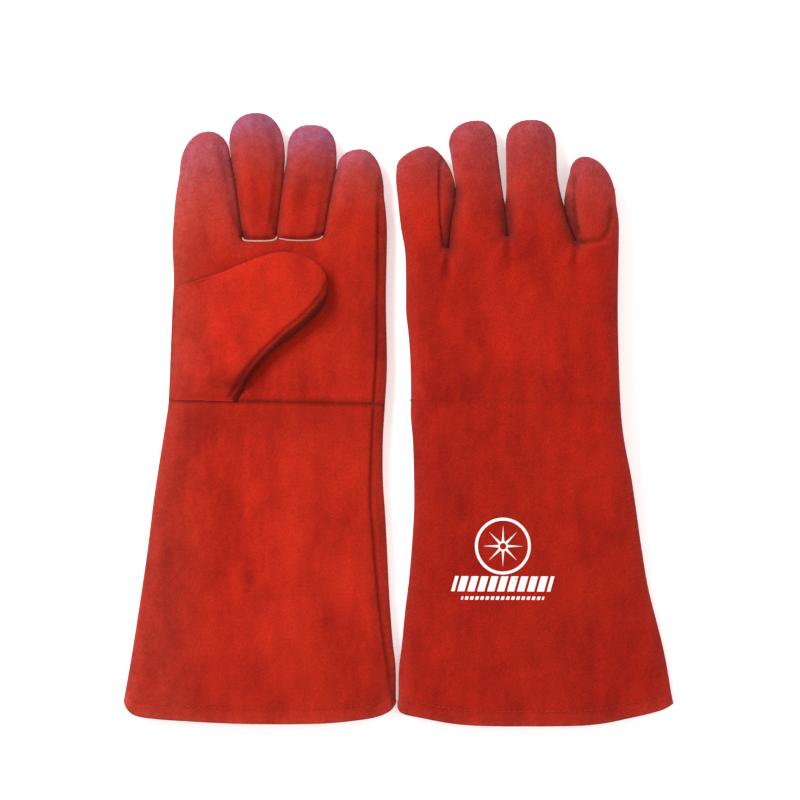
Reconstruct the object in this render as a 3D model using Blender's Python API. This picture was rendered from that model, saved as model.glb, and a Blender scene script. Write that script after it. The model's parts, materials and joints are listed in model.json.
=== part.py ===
"""A pair of 16 inch split-leather welding gloves, lying side by side on a flat surface.

Row frame: +X to the right, +Y towards the fingertips, +Z up, origin under the middle of the pair.
The left-hand glove lies palm up with its thumb folded across the palm. The right-hand glove lies
palm down on its folded thumb, so it is the same construction turned over and draped over the thumb.

Each glove is drawn in its own flat pattern: x across the hand, y from the wrist seam to the
fingertips, and w above the glove's middle plane, positive on the palm side. place() takes a
pattern point into the row frame.
"""

import math

import bmesh
import bpy
from mathutils import Vector
from mathutils.geometry import delaunay_2d_cdt

MM = 0.001

# Materials' thicknesses and the play between pieces.
LEATHER = 1.5 * MM
LINING = 1.4 * MM
GAP = 0.3 * MM

# Thickness of the empty gloves, as half of the distance from palm to back.
HAND_HALF = 9.0 * MM
HEM_HALF = 7.0 * MM
EDGE_RADIUS = 12.0 * MM  # how far in from the outline the surface has reached its full height
SIDE_HALF = 3.0 * MM  # half height of the side walls and welts between palm side and back
WELT_WIDTH = 3.0 * MM
HEM_DEPTH = 6.0 * MM
HEM_THICKNESS = 1.2 * MM
LINING_PLAY = 1.2 * MM  # room between the lining and the leather over it
WIDE_LATERAL = (-1, -0.88, -0.4, 0.1, 0.55, 0.9, 1)

# Stations along the glove.
KNUCKLE_Y = 115 * MM  # the line about which the fingers bend
WRIST_Y = 0.0
LINING_MOUTH_Y = -187 * MM
HEM_TOP_Y = -190 * MM

# The folded thumb: its fold line on the palm and its thickness.
THUMB_THICKNESS = 13.0 * MM
THUMB_RADIUS = 16.0 * MM
THUMB_CLEAR = 0.5 * MM
FOLD_A = Vector((-56 * MM, 80 * MM))
FOLD_B = Vector((-23 * MM, 17 * MM))
HEEL_RUN = 46 * MM  # over which the thumb's base comes down to the edge of the hand
HEEL_RISE_Y = 16 * MM  # over which it rises from the wrist seam

# The right-hand glove is lifted by the thumb that it lies on, and comes down again at both ends.
DRAPE = THUMB_THICKNESS + THUMB_CLEAR
DRAPE_START_Y = -140 * MM
DRAPE_FULL_Y = (-8 * MM, 100 * MM)
DRAPE_END_Y = 190 * MM

# Outlines, in millimetres of the flat pattern. Edges run from the hem or the wrist upwards.
# A finger has its two base corners on the knuckle line, its two shoulders where the sides end
# and the round tip begins, and the top of the tip.
GLOVES = {
    "left": {
        "place": (-80.8, 11.1),
        "palm_up": True,
        "cuff_thumb_edge": [(-98.5, -199), (-100.3, -190), (-96, -165), (-88, -117.5),
                            (-79.5, -51.5), (-73.2, -12), (-71.6, 0)],
        "cuff_little_edge": [(77.4, -199), (78.5, -190), (77.6, -168), (74.3, -124),
                             (70.6, -70), (70.2, -40), (71.6, 0)],
        "hem": [(-98.5, -199), (-89, -206.2), (-60, -209.6), (-20, -211.4), (25, -210.8),
                (66, -206.4), (77.4, -199)],
        "hand_thumb_edge": [(-71.6, 0), (-70.3, 35), (-68.4, 62), (-67.6, 80), (-68.6, 115)],
        "hand_little_edge": [(71.6, 0), (72.8, 34), (72.3, 67), (72.9, 115)],
        "fingers": {
            "index": {"base": (-68.6, -24.6), "shoulders": ((-63.2, 156), (-30.6, 158)),
                      "tip": (-46.5, 179)},
            "middle": {"base": (-21.3, -0.8), "shoulders": ((-31.2, 172), (4.7, 170)),
                       "tip": (-14, 191.4)},
            "ring": {"base": (1.1, 30.2), "shoulders": ((7.3, 166), (39.2, 162)),
                     "tip": (23, 182.8)},
            "little": {"base": (33.4, 72.9), "shoulders": ((40.2, 148), (70.2, 146)),
                       "tip": (55.5, 167)},
        },
    },
    "right": {
        "place": (76.7, 9.3),
        "palm_up": False,
        "cuff_thumb_edge": [(-75.6, -199), (-76.4, -188), (-74.6, -158), (-69.6, -109),
                            (-67.2, -60), (-67.6, -28), (-69, 0)],
        "cuff_little_edge": [(101.5, -198), (104.6, -190), (97.4, -157), (86.8, -115.5),
                             (78.9, -62.7), (71.6, -25), (69, 0)],
        "hem": [(-75.6, -199), (-61, -205.6), (-33, -209.8), (5, -211.8), (50, -210.4),
                (78, -205.4), (101.5, -198)],
        "hand_thumb_edge": [(-69, 0), (-69.6, 32), (-72.2, 62), (-72.4, 85), (-75.2, 115)],
        "hand_little_edge": [(69, 0), (68.3, 36), (67.4, 78), (67.7, 115)],
        "fingers": {
            "index": {"base": (-75.2, -44.2), "shoulders": ((-78.9, 150), (-44.2, 152)),
                      "tip": (-58, 171)},
            "middle": {"base": (-43.4, -4.5), "shoulders": ((-43.6, 172), (-10.6, 168)),
                       "tip": (-27, 187.8)},
            "ring": {"base": (-3.0, 35.0), "shoulders": ((-6.2, 172), (27.2, 168)),
                     "tip": (12, 187.8)},
            "little": {"base": (36.6, 67.7), "shoulders": ((32.6, 150), (64.0, 144)),
                       "tip": (46, 163.8)},
        },
    },
}
THUMB_UPPER = [(-56, 80), (-41, 84), (-24, 91), (-6, 97), (8, 99.2), (21, 95.5), (30.5, 86)]
THUMB_LOWER = [(-23, 17), (-13, 30.8), (-3, 43.4), (8, 53.2), (21.8, 65.6), (30, 75), (32.4, 81)]
HEEL_UPPER = [(-67.5, 77.4), (-61, 78.6), (-56, 80)]
HEEL_LOWER = [(-31.5, 0), (-28, 8), (-23, 17)]

MATERIALS = {
    "red_suede": ((0.58, 0.035, 0.02), 0.95),
    "red_suede_side": ((0.45, 0.025, 0.02), 0.95),
    "hem_suede": ((0.50, 0.03, 0.02), 0.95),
    "cotton_lining": ((0.72, 0.66, 0.55), 1.0),
}


# ---------------------------------------------------------------- curves in the flat pattern

def vectors(points):
    return [Vector((x * MM, y * MM)) for x, y in points]


def resample(line, step):
    """The same line with evenly spaced points about step apart, ends kept."""
    along = [0.0]
    for a, b in zip(line, line[1:]):
        along.append(along[-1] + (b - a).length)
    count = max(1, round(along[-1] / step))
    found, i = [], 0
    for k in range(count + 1):
        at = along[-1] * k / count
        while i < len(line) - 2 and along[i + 1] < at:
            i += 1
        share = (at - along[i]) / max(along[i + 1] - along[i], 1e-12)
        found.append(line[i].lerp(line[i + 1], min(share, 1.0)))
    return found


def stepped(line, step, rows=(3 * MM, 8 * MM)):
    """The same line with points at the distances rows from both ends and step apart between."""
    fine = resample(line, 0.5 * MM)
    length = sum((b - a).length for a, b in zip(line, line[1:]))
    far = length - 2 * rows[-1]
    count = max(1, round(far / step))
    stops = [0.0, *rows[:-1], *(rows[-1] + far * k / count for k in range(count + 1)),
             *(length - row for row in rows[-2::-1]), length]
    return [fine[round(stop / length * (len(fine) - 1))].copy() for stop in stops]


def smooth(points, step):
    """A Catmull-Rom curve through the points, evenly sampled."""
    p = [points[0] * 2 - points[1], *points, points[-1] * 2 - points[-2]]
    fine = []
    for a, b, c, d in zip(p, p[1:], p[2:], p[3:]):
        for k in range(12):
            t = k / 12
            fine.append(0.5 * (2 * b + (c - a) * t + (2 * a - 5 * b + 4 * c - d) * t * t
                               + (3 * b - a - 3 * c + d) * t ** 3))
    fine.append(points[-1])
    return resample(fine, step)


def finger_edges(finger, step):
    """(thumb-side edge, little-side edge) of a finger, each from the knuckle line to the tip."""
    edges = []
    tip = Vector(finger["tip"]) * MM
    for base_x, shoulder in zip(finger["base"], finger["shoulders"]):
        base, shoulder = Vector((base_x * MM, KNUCKLE_Y)), Vector(shoulder) * MM
        wide, tall = shoulder.x - tip.x, tip.y - shoulder.y
        cap = [Vector((tip.x + wide * math.cos(a), shoulder.y + tall * math.sin(a)))
               for a in (math.pi / 2 * k / 12 for k in range(13))]
        edges.append(resample([base, *cap], step))
    return edges


def distance(point, lines):
    """From a point to the nearest of several polylines."""
    best = 1.0
    for line in lines:
        for a, b in zip(line, line[1:]):
            along = b - a
            share = (point - a).dot(along) / max(along.length_squared, 1e-15)
            best = min(best, (point - a - along * min(max(share, 0), 1)).length)
    return best


def inside(point, ring):
    found = False
    for a, b in zip(ring, ring[1:] + ring[:1]):
        if (a.y > point.y) != (b.y > point.y):
            if point.x < a.x + (point.y - a.y) / (b.y - a.y) * (b.x - a.x):
                found = not found
    return found


def crossing(edge, y):
    """Where an edge that runs up the glove crosses the height y."""
    for a, b in zip(edge, edge[1:]):
        if min(a.y, b.y) - 1e-9 <= y <= max(a.y, b.y) + 1e-9:
            return a.lerp(b, (y - a.y) / (b.y - a.y)).x
    return edge[-1].x


def shifted(line, by):
    """The line moved sideways, to its left where by is positive."""
    moved = []
    for i, p in enumerate(line):
        along = line[min(i + 1, len(line) - 1)] - line[max(i - 1, 0)]
        moved.append(p + Vector((-along.y, along.x)).normalized() * by)
    return moved


def ease(t):
    t = min(max(t, 0.0), 1.0)
    return t * t * (3 - 2 * t)


def dome(t):
    """0 at the edge, rising like a quarter circle to 1."""
    t = min(max(t, 0.0), 1.0)
    return math.sqrt(1 - (1 - t) ** 2)


# ---------------------------------------------------------------- heights

def half_at(y):
    """Half the glove's thickness: even in the hand, thinner towards the hem."""
    return HAND_HALF + (HEM_HALF - HAND_HALF) * min(max(-y / 0.2, 0.0), 1.0)


def side_at(x):
    """Half the side wall's height: a welt on the little-finger side, none on the thumb side."""
    return SIDE_HALF * ease((x + 30 * MM) / (60 * MM))


def middle_height(glove, y):
    """Height of the glove's middle plane over the surface that it lies on."""
    if glove["palm_up"]:
        return half_at(y)
    low, high = DRAPE_FULL_Y
    rise = ease((y - DRAPE_START_Y) / (low - DRAPE_START_Y))
    fall = ease((DRAPE_END_Y - y) / (DRAPE_END_Y - high))
    return half_at(y) + DRAPE * min(rise, fall)


def place(glove, x, y, w):
    gx, gy = glove["place"]
    w = w if glove["palm_up"] else -w
    return (gx * MM + x, gy * MM + y, middle_height(glove, y) + w)


def panel_height(p, outline, side):
    """Outer height of a panel whose edge stands on a side wall of half height side."""
    foot = side + GAP + LEATHER
    return foot + (half_at(p.y) - foot) * dome(distance(p, outline) / EDGE_RADIUS)


def thumb_middle(p):
    """(how much of the thumb's thickness there is, height of its middle) over the palm."""
    across = (FOLD_B - FOLD_A).normalized()
    out = Vector((-across.y, across.x))
    past = (p - FOLD_A).dot(out)
    share = ease(1 + past / HEEL_RUN) * ease(p.y / HEEL_RISE_Y)
    return share, HAND_HALF + THUMB_CLEAR + THUMB_THICKNESS / 2 * share


# ---------------------------------------------------------------- solids

def material(name):
    made = bpy.data.materials.get(name)
    if made is None:
        colour, roughness = MATERIALS[name]
        made = bpy.data.materials.new(name)
        made.use_nodes = True
        shader = made.node_tree.nodes["Principled BSDF"]
        shader.inputs["Base Color"].default_value = (*colour, 1)
        shader.inputs["Roughness"].default_value = roughness
        shader.inputs["Metallic"].default_value = 0.0
        made.diffuse_color = (*colour, 1)
    return made


def on_pivot(glove, name, x, y, w, parent=None):
    """The same glove, whose next pieces hang on a new empty at a point of the pattern."""
    pivot = bpy.data.objects.new(name, None)
    bpy.context.scene.collection.objects.link(pivot)
    at = Vector(place(glove, x, y, w))
    if parent:
        pivot.parent = parent["pivot"]
        pivot.location = at - parent["at"]
    else:
        pivot.location = at
    return dict(glove, pivot=pivot, at=at)


def add_object(name, glove, mesh_points, faces, finish):
    """One closed solid, faces turned outwards, with its origin on its body's pivot."""
    mesh = bpy.data.meshes.new(name)
    bm = bmesh.new()
    corners = [bm.verts.new(Vector(p) - glove["at"]) for p in mesh_points]
    for face in faces:
        bm.faces.new([corners[i] for i in face])
    bmesh.ops.recalc_face_normals(bm, faces=bm.faces)
    if bm.calc_volume(signed=True) < 0:
        bmesh.ops.reverse_faces(bm, faces=bm.faces)
    bm.to_mesh(mesh)
    bm.free()
    mesh.materials.append(material(finish))
    made = bpy.data.objects.new(name, mesh)
    bpy.context.scene.collection.objects.link(made)
    made.parent = glove["pivot"]


def sheet(name, glove, ring, edges, outer, palm_side, finish, rows=(3 * MM, 8 * MM), grid=24 * MM):
    """A leather panel: ring is its outline, edges the stretches where its surface rolls over, and
    outer(point) the height of its outer face. Its inner face is a leather's thickness below."""
    loose = []
    for edge in edges:
        for row in rows:
            for by in (row, -row):
                loose += [p for p in shifted(edge, by)
                          if inside(p, ring) and distance(p, edges) > row * 0.9]
    low_x, low_y = min(p.x for p in ring), min(p.y for p in ring)
    for i in range(int((max(p.x for p in ring) - low_x) / grid) + 1):
        for j in range(int((max(p.y for p in ring) - low_y) / grid) + 1):
            loose.append(Vector((low_x + (i + 0.5) * grid, low_y + (j + 0.5) * grid)))
    border = [ring + ring[:1]]
    kept = []
    for p in loose:
        if inside(p, ring) and distance(p, border) > 1.5 * MM:
            if all((p - q).length > 2.4 * MM for q in kept):
                kept.append(p)
    flat, _, triangles, *_ = delaunay_2d_cdt(ring + kept, [], [list(range(len(ring)))], 1, 1e-7)
    sign = 1 if palm_side else -1
    heights = [outer(p) for p in flat]
    count = len(flat)
    points = [place(glove, p.x, p.y, sign * h) for p, h in zip(flat, heights)]
    points += [place(glove, p.x, p.y, sign * (h - LEATHER)) for p, h in zip(flat, heights)]
    faces = [tuple(t) for t in triangles] + [tuple(i + count for i in t[::-1]) for t in triangles]
    sides = {}
    for t in triangles:
        for a, b in zip(t, [*t[1:], t[0]]):
            sides[(a, b)] = True
    for a, b in sides:
        if (b, a) not in sides:
            faces.append((b, a, a + count, b + count))
    add_object(name, glove, points, faces, finish)


def wall(name, glove, line, width, finish, half=SIDE_HALF):
    """A side wall or welt: a strip of leather on edge that follows line, width thick inwards."""
    inner = shifted(line, -width)
    count = len(line)
    points = [place(glove, p.x, p.y, w) for w in (half, -half) for p in line + inner]
    faces = []
    for i in range(count - 1):
        for a, b in ((0, count), (3 * count, 2 * count)):
            faces.append((a + i, a + i + 1, b + i + 1, b + i))
        faces.append((i, 2 * count + i, 2 * count + i + 1, i + 1))
        faces.append((count + i, count + i + 1, 3 * count + i + 1, 3 * count + i))
    for i in (0, count - 1):
        faces.append((i, count + i, 3 * count + i, 2 * count + i))
    add_object(name, glove, points, faces, finish)


def sleeve(name, glove, edge_a, edge_b, inset, height, thickness, finish, closed, middle=None,
           lateral=(-1, -0.55, 0.55, 1)):
    """A flattened tube of sheet material between two edges: a ring at each pair of points, with
    height(p) its half height at a pattern point. A closed one ends in a cap at the last ring."""
    middle = middle or (lambda p: 0.0)

    def ring(i, thin):
        a, b = edge_a[i], edge_b[i]
        centre, half = (a + b) / 2, (b - a) / 2
        half = half.normalized() * max(half.length - inset - thin, 1.2 * MM)
        line = [centre + half * share for share in lateral]
        heights = [max(height(p) - thin, 0.5 * MM) for p in line]
        over = [place(glove, p.x, p.y, middle(p) + h) for p, h in zip(line, heights)]
        under = [place(glove, p.x, p.y, middle(p) - h) for p, h in zip(line, heights)]
        return over + under[::-1]

    corners = 2 * len(lateral)
    count = len(edge_a)
    inner_count = count - 1 if closed else count
    points = [p for i in range(count) for p in ring(i, 0.0)]
    points += [p for i in range(inner_count) for p in ring(i, thickness)]
    start = count * corners
    faces = []

    def band(first, second, flip):
        for k in range(corners):
            n = (k + 1) % corners
            face = (first + k, first + n, second + n, second + k)
            faces.append(face[::-1] if flip else face)

    def cap(first, flip):
        for k in range(len(lateral) - 1):
            face = (first + k, first + k + 1, first + corners - 2 - k, first + corners - 1 - k)
            faces.append(face[::-1] if flip else face)

    for i in range(count - 1):
        band(i * corners, (i + 1) * corners, False)
    for i in range(inner_count - 1):
        band(start + i * corners, start + (i + 1) * corners, True)
    band(start, 0, False)
    if closed:
        cap((count - 1) * corners, True)
        cap(start + (inner_count - 1) * corners, False)
    else:
        band((count - 1) * corners, start + (inner_count - 1) * corners, False)
    add_object(name, glove, points, faces, finish)


# ---------------------------------------------------------------- the parts of one glove

def add_cuff(side, glove):
    """The gauntlet: two panels, the welt between them, the turned hem and the lining."""
    thumb_edge = smooth(vectors(glove["cuff_thumb_edge"]), 16 * MM)
    little_edge = smooth(vectors(glove["cuff_little_edge"]), 16 * MM)
    hem = stepped(smooth(vectors(glove["hem"]), 2 * MM), 14 * MM)
    top = [Vector((x, WRIST_Y - GAP)) for x in (thumb_edge[-1].x, little_edge[-1].x)]
    across = stepped([top[1], top[0]], 24 * MM)
    ring = hem + little_edge[1:-1] + across + thumb_edge[-2:0:-1]
    edges = [thumb_edge, little_edge]

    def outer(p):
        return panel_height(p, edges, side_at(p.x))

    sheet(f"{side}_cuff_front", glove, ring, edges, outer, True, "red_suede")
    sheet(f"{side}_cuff_back", glove, ring, edges, outer, False, "red_suede")
    welt = [p for p in little_edge if p.y < WRIST_Y - 1 * MM] + [little_edge[-1] - Vector((0, GAP))]
    wall(f"{side}_cuff_welt", glove, welt[::-1], WELT_WIDTH, "red_suede_side")

    def inner(p):
        return outer(p) - LEATHER - LINING_PLAY

    def rings(y_values):
        return [[Vector((crossing(edge, y), y)) for y in y_values] for edge in edges]

    a, b = rings([WRIST_Y - 1 * MM + (LINING_MOUTH_Y - WRIST_Y) * k / 6 for k in range(7)])
    sleeve(f"{side}_cuff_lining", glove, a, b, WELT_WIDTH + 5 * MM, inner, LINING,
           "cotton_lining", False, lateral=WIDE_LATERAL)
    a, b = rings([HEM_TOP_Y - HEM_DEPTH, HEM_TOP_Y])
    sleeve(f"{side}_cuff_hem", glove, a, b, WELT_WIDTH + 1.5 * MM, inner, HEM_THICKNESS,
           "hem_suede", False, lateral=WIDE_LATERAL)


def add_hand(side, glove):
    """The hand from the wrist seam to the knuckles, with the thumb's base let into its palm."""
    thumb_edge = smooth(vectors(glove["hand_thumb_edge"]), 12 * MM)
    little_edge = smooth(vectors(glove["hand_little_edge"]), 12 * MM)
    edges = [thumb_edge, little_edge]
    low, high = WRIST_Y + GAP, KNUCKLE_Y - GAP

    def trimmed(line):
        return ([Vector((line[0].x, low))] + line[1:-1] + [Vector((line[-1].x, high))])

    left, right = trimmed(thumb_edge), trimmed(little_edge)

    def row(y, start, end):
        return stepped([Vector((start, y)), Vector((end, y))], 24 * MM)

    def outer(p):
        return panel_height(p, edges, side_at(p.x))

    back_ring = (row(low, left[0].x, right[0].x) + right[1:-1]
                 + row(high, right[-1].x, left[-1].x) + left[-2:0:-1])
    sheet(f"{side}_hand_back", glove, back_ring, edges, outer, False, "red_suede")

    # The palm leaves out the corner that the thumb's own panel covers.
    upper = smooth(vectors(HEEL_UPPER), 3 * MM)
    lower = smooth(vectors(HEEL_LOWER), 6 * MM)
    fold = resample([FOLD_A, FOLD_B], 12 * MM)
    seam = upper[:-1] + fold[:-1] + lower[::-1]
    seam[0] = Vector((crossing(thumb_edge, seam[0].y), seam[0].y))
    seam[-1] = Vector((seam[-1].x, WRIST_Y))
    palm_seam = shifted(seam, 2 * GAP)
    palm_seam[-1].y = low
    palm_seam[0].x = crossing(thumb_edge, palm_seam[0].y)
    above = [p for p in left if p.y > palm_seam[0].y + 4 * MM]
    palm_ring = (row(low, palm_seam[-1].x, right[0].x) + right[1:-1]
                 + row(high, right[-1].x, above[-1].x) + above[-2::-1] + palm_seam[:-1])
    sheet(f"{side}_palm", glove, palm_ring, edges, outer, True, "red_suede")

    heel_seam = seam
    heel_seam[-1] = Vector((seam[-1].x, low))
    below = [p for p in left if p.y < heel_seam[0].y - 4 * MM]
    heel_ring = row(low, below[0].x, heel_seam[-1].x) + heel_seam[-2::-1] + below[:0:-1]
    thumb_sides = [smooth(vectors(HEEL_UPPER + THUMB_UPPER[1:]), 8 * MM),
                   smooth(vectors(HEEL_LOWER + THUMB_LOWER[1:]), 8 * MM)]

    def heel(p):
        share, _ = thumb_middle(p)
        risen = 0.5 + 0.5 * dome(distance(p, thumb_sides) / THUMB_RADIUS)
        return outer(p) + (THUMB_CLEAR + THUMB_THICKNESS) * share * risen

    sheet(f"{side}_thumb_base", glove, heel_ring, [thumb_edge], heel, True, "red_suede")
    welt = [Vector((p.x, min(max(p.y, low), high))) for p in little_edge]
    wall(f"{side}_hand_welt", glove, welt[::-1], WELT_WIDTH, "red_suede_side")

    stations = [low + 1 * MM + (high - low - 2 * MM) * k / 4 for k in range(5)]
    a, b = ([Vector((crossing(edge, y), y)) for y in stations] for edge in edges)
    sleeve(f"{side}_hand_lining", glove, a, b, WELT_WIDTH + 3 * MM,
           lambda p: outer(p) - LEATHER - LINING_PLAY, LINING, "cotton_lining", False,
           lateral=WIDE_LATERAL)


def add_finger(side, glove, name, finger):
    thumb_edge, little_edge = finger_edges(finger, 8 * MM)
    outline = thumb_edge + little_edge[-2::-1]
    outline[0].y = outline[-1].y = KNUCKLE_Y + GAP

    def outer(p):
        return panel_height(p, [outline], SIDE_HALF)

    rows = (4 * MM, 10 * MM)
    ring = outline[::-1] + stepped([outline[0], outline[-1]], 16 * MM, rows)[1:-1]
    for panel, palm_side in (("front", True), ("back", False)):
        sheet(f"{side}_{name}_finger_{panel}", glove, ring, [outline], outer, palm_side,
              "red_suede", rows=rows)
    wall(f"{side}_{name}_finger_side", glove, outline, LEATHER, "red_suede_side")

    play = LEATHER + 2.5 * MM
    a, b = (at_shares(shifted(resample(edge, 2 * MM), by), (0.02, 0.3, 0.6, 0.78, 0.9, 0.97))
            for edge, by in ((thumb_edge, -play), (little_edge, play)))
    for p in (a[0], b[0]):
        p.y = KNUCKLE_Y + 4 * GAP

    sleeve(f"{side}_{name}_finger_lining", glove, a, b, 0.0,
           lambda p: outer(p) - LEATHER - LINING_PLAY, LINING, "cotton_lining", True)


def at_shares(line, shares):
    fine = resample(line, 1 * MM)
    return [fine[round(s * (len(fine) - 1))].copy() for s in shares]


def add_thumb(side, glove):
    upper = smooth(vectors(THUMB_UPPER), 8 * MM)
    lower = smooth(vectors(THUMB_LOWER), 8 * MM)
    outline = upper + lower[::-1]
    across = (FOLD_B - FOLD_A).normalized()
    out = Vector((-across.y, across.x))
    outline[0] = outline[0] + out * GAP * 1.5
    outline[-1] = outline[-1] + out * GAP * 1.5
    ring = outline[::-1] + stepped([outline[0], outline[-1]], 16 * MM, (4 * MM, 10 * MM))[1:-1]
    middle = HAND_HALF + THUMB_CLEAR + THUMB_THICKNESS / 2

    def front(p):
        full = THUMB_THICKNESS / 2 - LEATHER - GAP
        return middle + GAP + LEATHER + full * dome(distance(p, [outline]) / THUMB_RADIUS)

    def back(p):
        full = THUMB_THICKNESS / 2 - LEATHER - GAP
        return middle - GAP - full * dome(distance(p, [outline]) / THUMB_RADIUS)

    rows = (4 * MM, 10 * MM)
    sheet(f"{side}_thumb_front", glove, ring, [outline], front, True, "red_suede", rows=rows)
    sheet(f"{side}_thumb_back", glove, ring, [outline], back, True, "red_suede", rows=rows)
    a, b = (at_shares(shifted(resample(edge, 2 * MM), by), (0.02, 0.3, 0.6, 0.8, 0.93))
            for edge, by in ((upper, -6 * MM), (lower, 6 * MM)))
    a[0], b[0] = a[0] + out * GAP * 6, b[0] + out * GAP * 6

    sleeve(f"{side}_thumb_lining", glove, a, b, 0.0,
           lambda p: front(p) - LEATHER - middle - LINING_PLAY, LINING, "cotton_lining", True,
           lambda p: middle)


def main():
    for old in list(bpy.data.objects):
        bpy.data.objects.remove(old)
    for side, glove in GLOVES.items():
        # Hands and fingers bend upwards, about hinges in the upper surface, whichever it is.
        upper = HAND_HALF if glove["palm_up"] else -HAND_HALF
        cuff = on_pivot(glove, f"{side}_cuff_frame", 0.0, HEM_TOP_Y, 0.0)
        hand = on_pivot(glove, f"{side}_wrist_pivot", 0.0, WRIST_Y, upper, cuff)
        add_cuff(side, cuff)
        add_hand(side, hand)
        for name, finger in glove["fingers"].items():
            middle = sum(finger["base"]) / 2 * MM
            pivot = on_pivot(glove, f"{side}_{name}_pivot", middle, KNUCKLE_Y, upper, hand)
            add_finger(side, pivot, name, finger)
        fold = (FOLD_A + FOLD_B) / 2
        outside = HAND_HALF + THUMB_CLEAR + THUMB_THICKNESS
        add_thumb(side, on_pivot(glove, f"{side}_thumb_pivot", fold.x, fold.y, outside, hand))


main()
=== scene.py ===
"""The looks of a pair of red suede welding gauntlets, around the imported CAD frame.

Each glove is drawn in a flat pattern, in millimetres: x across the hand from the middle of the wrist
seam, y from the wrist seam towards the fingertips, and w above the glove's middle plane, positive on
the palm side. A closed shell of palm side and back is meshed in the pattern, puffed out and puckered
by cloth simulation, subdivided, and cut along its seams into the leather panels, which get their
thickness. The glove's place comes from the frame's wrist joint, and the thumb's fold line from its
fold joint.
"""

import json
import math

import bpy
import numpy as np
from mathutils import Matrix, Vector, noise
from mathutils.bvhtree import BVHTree
from mathutils.geometry import delaunay_2d_cdt


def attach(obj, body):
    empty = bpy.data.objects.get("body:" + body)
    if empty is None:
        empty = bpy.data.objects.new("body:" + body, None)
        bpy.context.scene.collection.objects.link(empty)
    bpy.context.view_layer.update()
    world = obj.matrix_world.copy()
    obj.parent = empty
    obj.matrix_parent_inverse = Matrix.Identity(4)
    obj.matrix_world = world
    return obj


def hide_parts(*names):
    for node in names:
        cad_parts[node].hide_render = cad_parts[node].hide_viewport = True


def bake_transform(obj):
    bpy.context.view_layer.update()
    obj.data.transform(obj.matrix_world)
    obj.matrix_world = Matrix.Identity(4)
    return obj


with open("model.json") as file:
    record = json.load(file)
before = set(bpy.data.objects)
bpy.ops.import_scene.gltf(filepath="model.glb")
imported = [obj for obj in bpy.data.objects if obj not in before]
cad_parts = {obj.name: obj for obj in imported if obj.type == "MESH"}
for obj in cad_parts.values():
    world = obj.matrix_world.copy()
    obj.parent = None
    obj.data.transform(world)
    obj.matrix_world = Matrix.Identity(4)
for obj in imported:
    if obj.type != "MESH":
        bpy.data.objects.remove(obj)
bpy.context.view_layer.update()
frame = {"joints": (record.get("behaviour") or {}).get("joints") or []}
JOINTS = {joint["name"]: joint for joint in frame["joints"]}

MM = 0.001
FINGERS = ("index", "middle", "ring", "little")

# Lengths are in millimetres from here on. Thickness of the leather, depth of the lining's outer face
# below the leather's, and thickness of the lining.
LEATHER = 1.4
LINING_GAP = 2.1
LINING = 1.2
# How far a lining is drawn in from the glove's edge, and how far from the edge this reaches.
LINING_DRAWN = 2.8
LINING_REACH = 5.0

# Half heights of the hand and of the hem, the rounding along the edge, the thumb's whole height and
# the rounding of its upper edge.
HAND_HALF = 7.6
HEM_HALF = 5.8
EDGE_RADIUS = 14.0
THUMB_THICK = 11.6
THUMB_RADIUS = 15.0

# The hem: radius of its turn, width of the strip inside, the gap to the leather outside, and the
# distance of its stitches from the mouth. A stitch is as long as this, one to a pitch.
HEM_ROLL = 1.45
HEM_STRIP = 9.0
HEM_GAP = 0.2
HEM_TURN = 8.5
STITCH = 2.8
STITCH_PITCH = 3.6
STITCH_RADIUS = 0.24

# Pressure while the shells settle, and the most that a point of the hand or the thumb then moves.
PRESSURE = 4.0
HAND_PUFF = 2.4
THUMB_PUFF = 1.4
# How far the leather beside a slit presses past the slit's edge.
SLIT_PRESS = 0.3
# The right glove lies over its own thumb: the lift, and where it rises and falls along the glove.
DRAPE = 13.5
DRAPE_RISE = (-140.0, -8.0)
DRAPE_FALL = (100.0, 190.0)

# Width of the seam strip along the glove's edge, and how far up a finger the side strips reach.
EDGE_STRIP = 1.35
SIDE_STRIP_TOP = 147
INDEX_STRIP_TOP = 163
# The thumb's seam begins this far from its fold line.
THUMB_SEAM_START = -14
# Above every surface of a glove: where a ray that looks for the surface starts.
CLEAR_OF_ALL = 60.0

# Mesh spacing, in millimetres.
EDGE_STEP = 3.6
GRID_STEP = 5.0
EDGE_ROWS = (1.3, 3.6, 7.2)

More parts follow.
